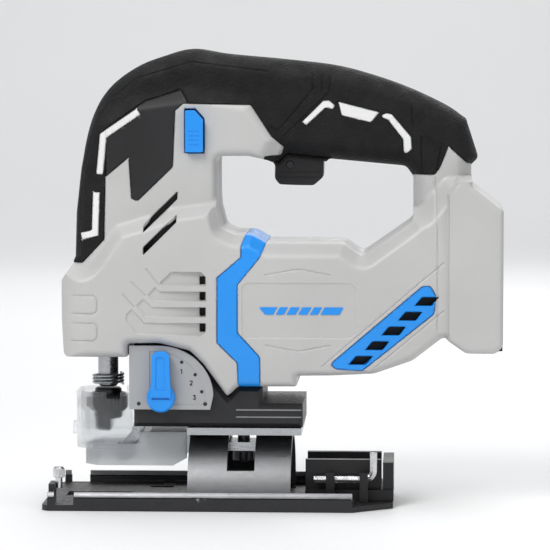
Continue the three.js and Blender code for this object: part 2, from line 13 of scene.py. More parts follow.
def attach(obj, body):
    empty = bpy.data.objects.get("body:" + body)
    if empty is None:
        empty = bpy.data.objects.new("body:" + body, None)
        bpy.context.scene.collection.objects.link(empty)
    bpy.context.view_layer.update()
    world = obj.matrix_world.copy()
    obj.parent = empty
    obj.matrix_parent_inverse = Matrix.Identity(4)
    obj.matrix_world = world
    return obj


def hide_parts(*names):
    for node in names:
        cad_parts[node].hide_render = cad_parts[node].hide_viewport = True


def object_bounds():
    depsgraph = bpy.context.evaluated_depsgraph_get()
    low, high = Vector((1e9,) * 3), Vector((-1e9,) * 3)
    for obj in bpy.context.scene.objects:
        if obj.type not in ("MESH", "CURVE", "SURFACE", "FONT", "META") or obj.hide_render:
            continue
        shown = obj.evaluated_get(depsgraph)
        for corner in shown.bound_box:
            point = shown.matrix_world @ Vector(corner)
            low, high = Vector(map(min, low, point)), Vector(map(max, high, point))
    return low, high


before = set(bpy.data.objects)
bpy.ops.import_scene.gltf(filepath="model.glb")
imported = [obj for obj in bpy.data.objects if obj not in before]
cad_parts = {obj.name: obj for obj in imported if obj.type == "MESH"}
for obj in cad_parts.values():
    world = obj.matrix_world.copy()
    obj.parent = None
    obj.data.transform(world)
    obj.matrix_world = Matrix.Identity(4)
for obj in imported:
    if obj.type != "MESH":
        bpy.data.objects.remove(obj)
cad_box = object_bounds()
MM = 0.001


# ---- materials
def new_material(name, color, roughness, metallic=0.0):
    mat = bpy.data.materials.new(name)
    mat.use_nodes = True
    shader = mat.node_tree.nodes["Principled BSDF"]
    shader.inputs["Base Color"].default_value = (*color, 1)
    shader.inputs["Roughness"].default_value = roughness
    shader.inputs["Metallic"].default_value = metallic
    return mat, mat.node_tree, shader


def noise(tree, scale, detail=4.0, stretch=(1, 1, 1)):
    """Noise in object space; scale is in cells per metre, stretch multiplies it by axis."""
    coords = tree.nodes.new("ShaderNodeTexCoord")
    mapping = tree.nodes.new("ShaderNodeMapping")
    mapping.inputs["Scale"].default_value = stretch
    texture = tree.nodes.new("ShaderNodeTexNoise")
    texture.inputs["Scale"].default_value = scale
    texture.inputs["Detail"].default_value = detail
    tree.links.new(coords.outputs["Object"], mapping.inputs["Vector"])
    tree.links.new(mapping.outputs["Vector"], texture.inputs["Vector"])
    return texture.outputs["Fac"]


def cells(tree, scale):
    coords = tree.nodes.new("ShaderNodeTexCoord")
    texture = tree.nodes.new("ShaderNodeTexVoronoi")
    texture.inputs["Scale"].default_value = scale
    tree.links.new(coords.outputs["Object"], texture.inputs["Vector"])
    return texture.outputs["Distance"]


def ramp(tree, value, stops):
    node = tree.nodes.new("ShaderNodeValToRGB")
    elements = node.color_ramp.elements
    while len(elements) < len(stops):
        elements.new(0.5)
    for element, (at, color) in zip(elements, stops):
        element.position = at
        element.color = (*color, 1) if len(color) == 3 else color
    tree.links.new(value, node.inputs["Fac"])
    return node.outputs["Color"]


def grey(value):
    return (value, value, value)


def shade(color, factor):
    return tuple(min(1.0, c * factor) for c in color)


def vary_color(tree, shader, color, spread, scale, stretch=(1, 1, 1)):
    stops = [(0.3, shade(color, 1 - spread)), (0.7, shade(color, 1 + spread))]
    tree.links.new(ramp(tree, noise(tree, scale, 5, stretch), stops), shader.inputs["Base Color"])


def vary_roughness(tree, shader, low, high, scale, stretch=(1, 1, 1)):
    stops = [(0.3, grey(low)), (0.7, grey(high))]
    tree.links.new(ramp(tree, noise(tree, scale, 4, stretch), stops), shader.inputs["Roughness"])


def bump(tree, shader, heights):
    """heights: (value socket, depth in metres), stacked."""
    last = None
    for value, depth in heights:
        node = tree.nodes.new("ShaderNodeBump")
        node.inputs["Strength"].default_value = 1.0
        node.inputs["Distance"].default_value = depth
        tree.links.new(value, node.inputs["Height"])
        if last:
            tree.links.new(last, node.inputs["Normal"])
        last = node.outputs["Normal"]
    tree.links.new(last, shader.inputs["Normal"])


def moulded_plastic(name, color, roughness=0.45, grain=0.00004, spread=0.04, specular=0.5):
    """Injection-moulded plastic with a fine spark-eroded grain and handling marks in its gloss."""
    mat, tree, shader = new_material(name, color, roughness)
    shader.inputs["Specular IOR Level"].default_value = specular
    vary_color(tree, shader, color, spread, 28)
    vary_roughness(tree, shader, roughness - 0.07, roughness + 0.08, 60)
    bump(tree, shader, [(noise(tree, 1600, 3), grain), (noise(tree, 45, 2), 0.00008)])
    return mat


def rubber(name, color, pebble):
    """Soft overmould: a pebbled skin, a little dust in its colour."""
    mat, tree, shader = new_material(name, color, 0.72)
    shader.inputs["Sheen Weight"].default_value = 0.03
    shader.inputs["Specular IOR Level"].default_value = 0.24
    shader.inputs["Sheen Roughness"].default_value = 0.4
    vary_color(tree, shader, color, 0.22, 90)
    vary_roughness(tree, shader, 0.62, 0.82, 140)
    bump(tree, shader, [(cells(tree, 700), pebble), (noise(tree, 2200, 3), 0.00003)])
    return mat


def ground_steel(name, color, roughness, stretch=(1, 1, 1), spread=0.14):
    """Bare or blackened steel with fine tool marks along one axis."""
    mat, tree, shader = new_material(name, color, roughness, 1.0)
    vary_color(tree, shader, color, spread, 120, stretch)
    vary_roughness(tree, shader, roughness - 0.5 * spread, roughness + spread, 300, stretch)
    bump(tree, shader, [(noise(tree, 1400, 3, stretch), 0.000012)])
    return mat


def coated_metal(name, color, worn, wear_scale=220):
    """Black coating over metal, rubbed through in small flecks."""
    mat, tree, shader = new_material(name, color, 0.42, 0.2)
    mask = noise(tree, wear_scale, 8)
    stops = [(0.0, color), (0.70, shade(color, 1.5)), (0.74, worn), (0.8, shade(worn, 1.2))]
    tree.links.new(ramp(tree, mask, stops), shader.inputs["Base Color"])
    tree.links.new(ramp(tree, mask, [(0.68, grey(0.2)), (0.76, grey(0.9))]), shader.inputs["Metallic"])
    vary_roughness(tree, shader, 0.3, 0.55, 500)
    bump(tree, shader, [(noise(tree, 700, 4), 0.00006), (mask, 0.0001)])
    return mat


def clear_plastic(name, color, roughness, transmission, alpha):
    """Polycarbonate, clear or frosted, with faint flow marks and scuffs."""
    mat, tree, shader = new_material(name, color, roughness)
    shader.inputs["Transmission Weight"].default_value = transmission
    shader.inputs["IOR"].default_value = 1.45
    shader.inputs["Alpha"].default_value = alpha
    vary_roughness(tree, shader, roughness, roughness + 0.16, 160)
    bump(tree, shader, [(noise(tree, 90, 2), 0.0002), (noise(tree, 1500, 2), 0.00002)])
    return mat


SHELL = moulded_plastic("light_grey_shell", (0.472, 0.468, 0.46), 0.42)
STRIPE = moulded_plastic("white_inlay", (0.74, 0.74, 0.73), 0.38)
BLUE = moulded_plastic("blue_plastic", (0.01, 0.262, 0.78), 0.36)
BLACK = moulded_plastic("black_plastic", (0.011, 0.011, 0.012), 0.42, 0.00005, 0.2, 0.36)
PANEL = moulded_plastic("dark_panel", (0.014, 0.014, 0.015), 0.5, 0.00006, 0.15, 0.36)
RUBBER = rubber("grip_rubber", (0.0075, 0.0075, 0.0082), 0.0003)
CAST = coated_metal("black_casting", (0.012, 0.012, 0.013), (0.05, 0.05, 0.052))
SHEET = coated_metal("black_sheet", (0.014, 0.014, 0.015), (0.3, 0.3, 0.31))
DOME = ground_steel("satin_casting", (0.23, 0.233, 0.238), 0.36, (2, 5, 5), 0.05)
STEEL = ground_steel("ground_steel", (0.46, 0.47, 0.49), 0.26, (1, 1, 6), 0.06)
DARK_STEEL = ground_steel("blackened_steel", (0.055, 0.056, 0.06), 0.34)
# Bright steel that paints highlights: along the shoe flanges' top edges and along the gear case's ridges.
EDGE_HIGHLIGHT = ground_steel("painted_edge_highlight", (0.3, 0.3, 0.31), 0.36, (1, 1, 1), 0.12)
BRIGHT = ground_steel("bright_zinc", (0.62, 0.62, 0.63), 0.2)
DIAL = moulded_plastic("dial_grey", (0.36, 0.365, 0.37), 0.35, 0.00003)
CLEAR = clear_plastic("clear_polycarbonate", (0.66, 0.69, 0.71), 0.03, 0.9, 0.45)
FROSTED = clear_plastic("frosted_polycarbonate", (0.72, 0.74, 0.76), 0.32, 0.55, 0.88)
COPPER = ground_steel("contact_copper", (0.72, 0.40, 0.22), 0.28)
BOARD = moulded_plastic("circuit_board", (0.02, 0.12, 0.05), 0.35)
RED = moulded_plastic("red_insulation", (0.5, 0.02, 0.015), 0.4)
INK = moulded_plastic("dark_ink", (0.02, 0.02, 0.022), 0.5)


# ---- pieces
def piece(name, points_mm, faces, material, body, replaces=(), sharp=35):
    """A mesh piece in the frame's axes; it rides on a CAD body."""
    mesh = bpy.data.meshes.new(name)
    mesh.from_pydata([tuple(np.asarray(p, float) * MM) for p in points_mm], [], faces)
    mesh.validate()
    return finish_piece(name, mesh, material, body, replaces, sharp)


def finish_piece(name, mesh, material, body, replaces=(), sharp=35):
    mesh.polygons.foreach_set("use_smooth", [True] * len(mesh.polygons))
    mesh.set_sharp_from_angle(angle=math.radians(sharp))
    mesh.materials.clear()
    mesh.materials.append(material)
    obj = bpy.data.objects.new(name, mesh)
    bpy.context.scene.collection.objects.link(obj)
    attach(obj, body)
    if replaces:
        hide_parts(*replaces)
    return obj


def bevel(obj, width_mm, segments=2, angle=40):
    mod = obj.modifiers.new("edges", "BEVEL")
    mod.width = width_mm * MM
    mod.segments = segments
    mod.limit_method = "ANGLE"
    mod.angle_limit = math.radians(angle)
    mod.harden_normals = True


# ---- plane curves
ARC_STEP = 10  # degrees of turn to each step of a rounded corner
MOST_OF_SIDE = 0.48  # of a side's length, that one corner's rounding may take


def rounded(corners, default=1.0):
    """Closed outline from (x, z) or (x, z, radius) corners, each corner an arc."""
    out = []
    for i, corner in enumerate(corners):
        p = np.array(corner[:2], float)
        radius = corner[2] if len(corner) > 2 else default
        before = np.array(corners[i - 1][:2], float) - p
        after = np.array(corners[(i + 1) % len(corners)][:2], float) - p
        side_a, side_b = np.linalg.norm(before), np.linalg.norm(after)
        a, b = before / side_a, after / side_b
        angle = math.acos(np.clip(a @ b, -1, 1))
        if radius <= 0 or angle > math.pi - 0.02:
            out.append(p)
            continue
        reach = min(radius / math.tan(angle / 2), MOST_OF_SIDE * side_a, MOST_OF_SIDE * side_b)
        steps = max(2, int(math.degrees(math.pi - angle) / ARC_STEP))
        for t in np.linspace(0, 1, steps + 1):
            out.append((1 - t) ** 2 * (p + a * reach) + 2 * t * (1 - t) * p + t * t * (p + b * reach))
    return np.array(out)


def even(points, step, closed=True):
    """The line through points again, cut into equal steps."""
    line = np.vstack([points, points[:1]]) if closed else np.asarray(points, float)
    lengths = np.linalg.norm(np.diff(line, axis=0), axis=1)
    at = np.concatenate([[0], np.cumsum(lengths)])
    count = max(2, int(round(at[-1] / step)))
    wanted = np.linspace(0, at[-1], count + 1)
    line = np.stack([np.interp(wanted, at, line[:, k]) for k in (0, 1)], axis=1)
    return line[:-1] if closed else line


def smooth_line(points, count):
    """Catmull-Rom through an open row of points."""
    p = np.vstack([2 * points[0] - points[1], points, 2 * points[-1] - points[-2]])
    out = []
    for i in range(1, len(p) - 2):
        for t in np.linspace(0, 1, count, endpoint=False):
            a, b, c, d = p[i - 1:i + 3]
            square, cube = 2 * a - 5 * b + 4 * c - d, 3 * b - a - 3 * c + d
            out.append(0.5 * (2 * b + (c - a) * t + square * t * t + cube * t ** 3))
    return np.array(out + [p[-2]])


CHUNK = 4000  # points measured at once, to bound the memory


def distance(points, line, closed=True):
    """Distance from each point to a line of segments, and the nearest segment with the place on it."""
    line = np.asarray(line, float)
    a = line if closed else line[:-1]
    b = np.roll(line, -1, axis=0) if closed else line[1:]
    best = np.full(len(points), np.inf)
    where = np.zeros(len(points), int)
    along = np.zeros(len(points))
    d = b - a
    for start in range(0, len(points), CHUNK):
        part = slice(start, start + CHUNK)
        q = points[part, None, :]
        t = np.clip(((q - a) * d).sum(2) / np.maximum((d * d).sum(1), 1e-12), 0, 1)
        gap = np.linalg.norm(q - (a + t[..., None] * d), axis=2)
        k = gap.argmin(1)
        row = np.arange(len(k))
        best[part], where[part], along[part] = gap[row, k], k, t[row, k]
    return best, where, along


def inside(points, loop):
    """Which points lie inside a closed loop, by the crossings of a ray."""
    x, z = points[:, 0], points[:, 1]
    result = np.zeros(len(points), bool)
    for (x0, z0), (x1, z1) in zip(loop, np.roll(loop, -1, axis=0)):
        if z0 == z1:
            continue
        result ^= ((z0 > z) != (z1 > z)) & (x < (x1 - x0) * (z - z0) / (z1 - z0) + x0)
    return result


def depth_inside(points, loop):
    """Signed distance to a closed loop, positive inside."""
    d = distance(points, loop)[0]
    return np.where(inside(points, loop), d, -d)


def area(loop):
    """Signed area, positive where the loop runs anticlockwise."""
    x, z = loop[:, 0], loop[:, 1]
    return 0.5 * np.sum(x * np.roll(z, -1) - np.roll(x, -1) * z)


def polar(centre, radius, angle):
    """The point of a plane at an angle, in radians, round a centre."""
    return (centre[0] + radius * math.cos(angle), centre[1] + radius * math.sin(angle))


def circle(centre, radius, sides):
    return [polar(centre, radius, a) for a in np.linspace(0, 2 * math.pi, sides, endpoint=False)]


def inward_normals(loop, hole=False):
    """Unit normals that point into the material: inside an outline, outside a hole."""
    along = np.roll(loop, -1, axis=0) - np.roll(loop, 1, axis=0)
    along /= np.linalg.norm(along, axis=1)[:, None]
    normal = np.stack([-along[:, 1], along[:, 0]], axis=1)
    return normal * (np.sign(area(loop)) * (-1 if hole else 1))


def widened(line, width):
    """A stroke of constant width round an open line, as a closed outline with mitred corners."""
    line = np.asarray(line, float)
    step = np.diff(line, axis=0)
    step /= np.linalg.norm(step, axis=1)[:, None]
    first, last = step[:1], step[-1:]
    before, after = np.vstack([first, step]), np.vstack([step, last])
    turn = 1 + (before * after).sum(1)
    side = np.stack([-(before + after)[:, 1], (before + after)[:, 0]], axis=1) / turn[:, None]
    return np.vstack([line + side * width / 2, (line - side * width / 2)[::-1]])


# ---- housing outlines
HANDLE_BACK = smooth_line(np.array([
    (-65.3, 160.5), (-60.5, 184), (-52.5, 198.5), (-39.5, 208.7), (-26, 214.2), (-12, 217.6), (5, 215.2),
    (30, 212.9), (55, 210), (72, 205.8), (90, 199.6), (108, 191.2), (118, 184.5)]), 6)
UNDERSIDE = [
    (107.5, 82.2, 2.5), (93, 71, 9), (75, 64.7, 9), (55, 63.7, 12), (38.4, 63.5, 1), (38.4, 58.4, 1),
    (10.6, 58.3, 1.5), (5.4, 53.4, 1.2), (-6, 69, 5), (-12.4, 75.2, 5), (-27, 78.8, 8), (-41.6, 78.5, 1),
    (-41.6, 72, 1.5)]
OUTLINE = rounded([
    (-72.5, 72, 3), (-74, 90, 0), (-74, 108, 4), (-68.3, 116, 4), (-67.6, 140, 0),
    *((*p, 0) for p in HANDLE_BACK),
    (124, 166, 3), (120.6, 162.8, 1.2), (120.6, 154, 1.5), (135.5, 142.3, 1.8), (135.5, 78, 4),
    (131.5, 74.7, 3), (118, 74.9, 4), *UNDERSIDE], 1)
FINGER_GAP = rounded([
    (0, 143, 7), (0, 167, 3), (15, 167, 8), (24, 165, 3), (28.5, 163, 1), (33, 167.4, 1), (51.5, 165.5, 4),
    (89.5, 162, 4), (93, 157, 3), (93, 136.5, 4), (69, 119.8, 4), (60, 126, 3), (24, 126, 3), (17, 130, 2),
    (8.5, 130.3, 3), (2.5, 133, 4)], 1)
RIM = 1.2  # width of the band at the outline that is built as rings
GRID = 1.15  # spacing of the surface points inside it
CLEARANCE = 0.55  # least distance from such a point to a drawn line's points
SEAM = 0.15  # half the gap at the parting plane

# zones of the side view, drawn past the outline where they share it
BODY_ZONE = rounded([
    (-90, 117), (-64, 119), (-50, 138), (-20, 147), (2, 150), (30, 140), (95, 143), (108, 158), (150, 158),
    (150, 40), (-90, 40)], 6)
PILLAR_ZONE = rounded([
    (-90, 105), (-90, 178), (-62, 186), (-40, 197), (-10, 201), (18, 196), (33, 175), (24, 158),
    (10, 100)], 6)
FOOT_FRONT = 107.8
FOOT_ZONE = [(FOOT_FRONT, 60), (150, 60), (150, 158), (114, 158), (FOOT_FRONT, 150)]
FOOT_STEP = 2.4  # width of the step from the body out to the battery foot

# half widths that the four zones of the housing reach
GRIP_HALF = 19.0
PILLAR_HALF = 25.5
BODY_HALF = 34.3
FOOT_HALF = 36.0


def quarter(t):
    """Rises from 0 to 1 as a quarter circle."""
    t = np.clip(t, 0, 1)
    return np.sqrt(1 - (1 - t) ** 2)


def slope(t):
    """Rises from 0 to 1 in a straight line with eased ends."""
    t = np.clip(t, 0, 1)
    return 0.75 * t + 0.25 * t * t * (3 - 2 * t)


def soft_min(values, k):
    """The least of several fields, their meeting lines rounded over about k."""
    values = np.stack(values)
    low = values.min(0)
    return low - k * np.log(np.exp(-(values - low) / k).sum(0))


def soft_max(values, k):
    return -soft_min([-v for v in values], k)


def half_width(points):
    """Half the housing's width over a point of the side view, before its small features."""
    x, z = points[:, 0], points[:, 1]
    outer = distance(points, OUTLINE)[0]
    gap = distance(points, FINGER_GAP)[0]
    level = np.ones(len(x))
    grip = soft_min([GRIP_HALF * level, 5 + 15.5 * quarter(np.minimum(outer, gap) / 13)], 0.5)
    pillar_in = depth_inside(points, PILLAR_ZONE)
    brow = 5 + 6 * slope(pillar_in / 14)
    pillar = soft_min([
        PILLAR_HALF * level, brow + (26 - brow) * quarter(outer / 13), 19 + 7 * quarter(gap / 6),
        17.5 + 8 * slope(pillar_in / 9)], 0.8)
    body_in = depth_inside(points, BODY_ZONE)
    crown = BODY_HALF - 0.0011 * (z - 95) ** 2
    nose = 19 + 15.5 * quarter((x + 74.2) / 16)
    body = soft_min([
        crown, 27.5 + 7.5 * quarter(outer / 6), 25.2 + 10 * slope(gap / 7), nose,
        18 + 17 * slope(body_in / 12)], 0.35)
    foot_in = depth_inside(points, FOOT_ZONE)
    foot = soft_min([
        FOOT_HALF * level, 32.5 + 4 * quarter(outer / 4), 19 + 17 * slope(foot_in / FOOT_STEP)], 0.25)
    zones = ((pillar, pillar_in), (body, body_in), (foot, foot_in))
    return soft_max([grip, *(np.where(depth > 0, zone, 0) for zone, depth in zones)], 0.7)


# ---- colour regions and small features
COVER = [
    (-90, 116.3), (-63.8, 116.3), (-53.2, 127.6), (-52.6, 157.2), (-41.4, 166.6), (-40.2, 147),
    (-37.4, 145.8), (-20.6, 162), (-19.4, 188.6), (-15.6, 191.9), (16.2, 191.2), (26, 176.3),
    (31.6, 171.4), (30.4, 167.6), (22.6, 166.9), (21, 150), (88, 150), (93.2, 158.2), (103, 158.4),
    (105.5, 161.5), (109.6, 171.8), (118.6, 163.6), (140, 163), (140, 240), (-90, 240)]
DARK_PANEL = [*COVER[3:10], (-13, 192), (-17, 198.5), (-34, 193), (-52, 180.5)]
BAND = [
    (16.5, 140), (15.4, 133.4), (12.1, 125.2), (12.1, 119.8), (0.8, 110.2), (0.8, 79.4), (10.5, 69.8),
    (10.8, 50), (21.3, 50), (21, 72.8), (10.5, 84.2), (10.5, 106.9), (21, 119.8), (25.1, 129.4), (29, 140)]
GRILLE = rounded([
    (97.6, 106.6), (101.3, 106.6), (103.9, 102), (103, 93.6), (69.2, 66.4), (56.9, 67.2), (54.3, 69.6)], 1.5)
FRONT_STRIPES = [
    [(-36.7, 188.1), (-53.6, 176.6), (-55.3, 158.4)],
    [(-56.9, 150), (-57.6, 130.6), (-64.5, 128.8)]]
GRIP_STRIPES = [
    [(40.2, 183.1), (42.4, 181.6), (51.5, 189.9), (55, 189.1), (56, 191), (53.2, 193.4), (50.3, 193.2)],
    [(57.4, 192.8), (77, 187.8), (72.9, 182.9), (59, 186.2)],
    [(78, 186.3), (79.9, 187.5), (82.8, 186.9), (92, 176.1), (92.3, 170.4), (90, 168.4), (88.4, 168.9),
     (88.1, 175), (80.8, 184.3), (78.6, 185)]]
REGIONS = [("cover", COVER), ("panel", DARK_PANEL), ("band", BAND), ("grille", GRILLE)]
REGIONS += [("stripe", stripe) for stripe in (*(widened(line, 3.4) for line in FRONT_STRIPES), *GRIP_STRIPES)]

LOCK_WINDOW = [(-14.9, 168.6), (-5.6, 168.6), (-5.6, 184.8), (-9.9, 189.5), (-14.9, 189.5)]
SLANTS = [
    [(-34, 131.4 - drop), (-18.4, 146.8 - drop), (-18.4, 150.4 - drop), (-34, 135 - drop)]
    for drop in (0, 10.6)]
LOUVRES = [
    [(-20.8, 113.2), (-6.6, 113), (-4.2, 110.6), (-4.2, 106.3), (-25.4, 106.3), (-26.4, 107.9)],
    [(-28.3, 106.1), (-26.2, 103.8), (-4.2, 103.8), (-4.2, 99), (-29.2, 99), (-32, 101.9)],
    [(-34, 100.4), (-29.8, 96.4), (-4.2, 96.4), (-4.2, 91.5), (-33, 91.5), (-37.6, 96.9)],
    [(-39.6, 95.6), (-33.4, 88.9), (-4.2, 88.9), (-4.2, 84.8), (-6.6, 82.6), (-37.3, 83.2), (-42.4, 89.8),
     (-42.1, 93)]]
LOUVRE_HOLES = [
    [(-7.4, high - 0.6), (-4.9, high - 0.6), (-4.9, low + 0.6), (-7.4, low + 0.6)]
    for low, high in ((106.4, 111.2), (99, 103.8), (91.5, 96.4), (84, 88.9))]
GRILLE_SLOTS = [
    np.array([(-5.6, -2.1), (2.6, -2.1), (5.6, 1.9), (-2.2, 1.9)]) + (68.6 + 7.75 * i, 71.6 + 7 * i)
    for i in range(5)]
HOLES = [LOCK_WINDOW, *SLANTS, *LOUVRE_HOLES, *GRILLE_SLOTS]
SCREW_PLACES = [(-48, 186), (-12, 152), (92, 80.5), (100, 122), (15, 197)]
SCREW_WELL = 3.7  # radius of a counterbore

TABS = [
    rounded([(-75, z), (-57.5, z, 2), (-56, z + 1.5), (-56, z + 6.7), (-57.5, z + 8.2, 2), (-75, z + 8.2)], 1)
    for z in (93, 80.2)]
LABEL = rounded([
    (14, 81.5), (64, 81.5), (66.5, 84), (66.5, 105.5), (64, 108), (14, 108), (12.4, 106), (12.4, 83.5)], 2)
RECESSES = [(LABEL, 0.4, 0.5), *((tab, -0.25, 0.5) for tab in TABS)]  # outline, depth, width of its edge
CREASES = [
    [(24, 111.6), (38, 114.2), (41, 114.2), (54, 111.6)],
    [(24, 78.4), (38, 75.8), (41, 75.8), (54, 78.4)],
    [(-27, 107), (-32.5, 114.2)],
    [(-32.9, 101.7), (-39.4, 107.9)],
    [(-38.4, 96.6), (-43.4, 102)],
    [(-68, 101.4), (-57.4, 101.4), (-55.8, 99.8), (-55.8, 94.3), (-57.4, 92.8), (-68, 92.8)],
    [(-68, 88.4), (-57.4, 88.4), (-55.8, 86.8), (-55.8, 81.6), (-57.4, 80), (-68, 80)],
    [(106, 171), (103.6, 158), (103.6, 138), (104.6, 134), (104.6, 86)],
    [(50.5, 68.5), (98, 109.5), (107.6, 117.5)],
    [(73, 66), (107.6, 95)],
    [(25.5, 181.5), (28.5, 178.5), (46.6, 199.8)],
    [(32, 176.9), (53, 197), (54.5, 208.5)],
    [(45.2, 198.5), (45.6, 205.7)],
    [(49.6, 198), (50, 205.2)],
    [(92, 191), (92.6, 182)],
    [(96.8, 176), (97, 159)],
    [(-66, 122), (-63.5, 160), (-57.5, 182), (-50, 194.5), (-37.5, 204), (-12, 211.5), (24, 207)],
]
CREASE_DEPTH, CREASE_HALF = 0.45, 0.55  # a moulded line and half its width
SEAM_DEPTH, SEAM_HALF = 0.6, 0.5  # the V between two colours
LIP_DEPTH, LIP_WIDTH = 0.4, 0.45  # how the surface drops at the edge of an opening
LOUVRE_EDGE = 0.6


def surface_height(points, seams, holes):
    """Half width with recesses, creases and the V-shaped seams between colours."""
    h = half_width(points)
    for loop, depth, edge in RECESSES:
        h -= depth * np.clip(depth_inside(points, loop) / edge, 0, 1)
    ramp_down = 0.7 + 2.2 * np.clip((points[:, 0] + 30) / 24, 0, 1) ** 1.5
    for loop in LOUVRES:
        h -= ramp_down * np.clip(depth_inside(points, loop) / LOUVRE_EDGE, 0, 1)
    for line in CREASES:
        near = distance(points, line, closed=False)[0]
        h -= CREASE_DEPTH * np.clip(1 - near / CREASE_HALF, 0, 1)
    for hole in holes:
        near = distance(points, hole)[0]
        h -= LIP_DEPTH * np.clip(1 - near / LIP_WIDTH, 0, 1)
    near = np.min([distance(points, loop)[0] for loop in seams], axis=0)
    return h - SEAM_DEPTH * np.clip(1 - near / SEAM_HALF, 0, 1)


# ---- housing mesh
class Drawing:
    """Points and fixed edges of the side view, for one constrained triangulation."""

    def __init__(self):
        self.points = []
        self.edges = []

    def add(self, line, closed=True):
        """A line whose segments stay edges of the triangulation."""
        start = len(self.points)
        self.points.extend(map(tuple, line))
        self.edges += [(start + i, start + i + 1) for i in range(len(line) - 1)]
        if closed:
            self.edges.append((start + len(line) - 1, start))

    def add_with_shoulders(self, line, half, closed=True, step=1.3):
        """A line with a parallel line at each side, so that a groove along it keeps its width."""
        fine = even(line, step, closed)
        self.add(fine, closed)
        ahead = np.roll(fine, -1, axis=0) if closed else np.vstack([fine[1:], fine[-1:]])
        behind = np.roll(fine, 1, axis=0) if closed else np.vstack([fine[:1], fine[:-1]])
        along = ahead - behind
        along /= np.maximum(np.linalg.norm(along, axis=1), 1e-9)[:, None]
        side = np.stack([-along[:, 1], along[:, 0]], axis=1) * half
        for row in (fine + side, fine - side):
            clear = distance(row, fine, closed)[0] > 0.8 * half
            self.points.extend(map(tuple, row[clear]))


def ring_bands():
    """The two outline loops, each with its points moved in by RIM."""
    bands = []
    for loop, hole in ((OUTLINE, False), (FINGER_GAP, True)):
        fine = even(loop, 1.2)
        normals = inward_normals(fine, hole)
        for _ in range(2):
            normals = normals + np.roll(normals, 1, axis=0) + np.roll(normals, -1, axis=0)
            normals /= np.linalg.norm(normals, axis=1)[:, None]
        bands.append((fine, normals, fine + normals * RIM))
    return bands


def draw_side(bands, holes):
    """Every line that the surface needs as edges, and a grid of points between them."""
    drawing = Drawing()
    for _, _, moved in bands:
        drawing.add(moved)
    for _, loop in REGIONS:
        drawing.add_with_shoulders(loop, SEAM_HALF)
    for line in CREASES:
        drawing.add_with_shoulders(line, CREASE_HALF, closed=False)
    for line in (BODY_ZONE, PILLAR_ZONE):
        drawing.add_with_shoulders(line, 0.8)
    for d in np.arange(0, FOOT_STEP + 0.1, 0.6):
        front = FOOT_FRONT + d
        line = [(front, 62), (front, 150 - 0.35 * d), (114 + 0.4 * d, 158 - d), (145, 158 - d)]
        drawing.add(even(line, 0.9, closed=False), closed=False)
    for loop, _, edge in RECESSES:
        drawing.add_with_shoulders(loop, edge)
    for loop in LOUVRES:
        drawing.add_with_shoulders(loop, LOUVRE_EDGE, step=1.0)
    for hole in holes:
        drawing.add_with_shoulders(hole, LIP_WIDTH, step=1.0)
    fixed = KDTree(len(drawing.points))
    for number, point in enumerate(drawing.points):
        fixed.insert((*point, 0), number)
    fixed.balance()
    low, high = OUTLINE.min(0), OUTLINE.max(0)
    rows = np.arange(low[1], high[1], GRID * 0.866)
    grid = np.array([
        (x + (GRID / 2 if i % 2 else 0), z)
        for i, z in enumerate(rows) for x in np.arange(low[0], high[0], GRID)])
    grid = grid[inside(grid, bands[0][2]) & ~inside(grid, bands[1][2])]
    nearest = np.array([drawing.points[fixed.find((*p, 0))[1]] for p in grid])
    drawing.points.extend(map(tuple, grid[np.hypot(*(nearest - grid).T) > CLEARANCE]))
    return drawing


def triangulated(drawing, bands, holes):
    """Points, the triangles between the rims and outside the holes, and each one's region number."""
    verts, _, faces, *_ = delaunay_2d_cdt(
        [Vector(p) for p in drawing.points], drawing.edges, [], 0, 1e-5, False)
    points = np.array([(v.x, v.y) for v in verts])
    tris = np.array([list(f) for f in faces if len(f) == 3])
    middle = points[tris].mean(1)
    keep = inside(middle, bands[0][2]) & ~inside(middle, bands[1][2])
    for hole in holes:
        keep &= ~inside(middle, hole)
    colours = np.zeros(len(tris), int)
    for number, (_, loop) in enumerate(REGIONS):
        colours[inside(middle, loop)] = number + 1
    a, b, c = points[tris[:, 0]], points[tris[:, 1]], points[tris[:, 2]]
    turn = (b - a)[:, 0] * (c - a)[:, 1] - (b - a)[:, 1] * (c - a)[:, 0]
    keep &= np.abs(turn) > 1e-7
    tris[turn < 0] = tris[turn < 0][:, ::-1]
    return points, tris[keep], colours[keep]


RING_STEPS = np.array([0.1, 0.35, 0.75])
BLADE_X = -54.0
LIGHT_X = -66.6
TRIGGER_SLOT = (25.0, 53.5, 160.0)  # from x to x, above z
TRIGGER_HALF = 9.4
NOSE_HOLES = ((BLADE_X, 7.8), (LIGHT_X, 2.6))  # plunger bush and work light: x and radius
BATTERY_REAR_HALF = 27.2  # half the battery's opening behind the foot
BATTERY_FLOOR_HALF = 31.0  # and below it


def rim_profile(point, normal, top, start):
    """Points (x, z, half width) of the rim at one place, from the parting plane out."""
    heights = half_width(point + normal * RING_STEPS[:, None])
    rise = heights[0] - start
    wall = [(0.18, start), (0.0, start + 0.45), (0.0, start + rise * 0.4), (0.05, start + rise * 0.75)]
    rows = wall + list(zip(RING_STEPS, heights))
    return [(*(point + normal * d), min(h, top + 3)) for d, h in rows]


def wall_start(point, hole):
    """Where the wall at the outline begins: at the parting plane, or beside what fills the opening there."""
    x, z = point
    if hole:
        low, high, above = TRIGGER_SLOT
        return TRIGGER_HALF if low < x < high and z > above else SEAM
    for centre, radius in NOSE_HOLES:
        if z < 73.5 and abs(x - centre) < radius:
            return max(SEAM, math.sqrt(radius ** 2 - (x - centre) ** 2))
    if x > 134.6 and z < 139.5:
        return BATTERY_REAR_HALF
    return BATTERY_FLOOR_HALF if x > 127 and z < 80 else SEAM


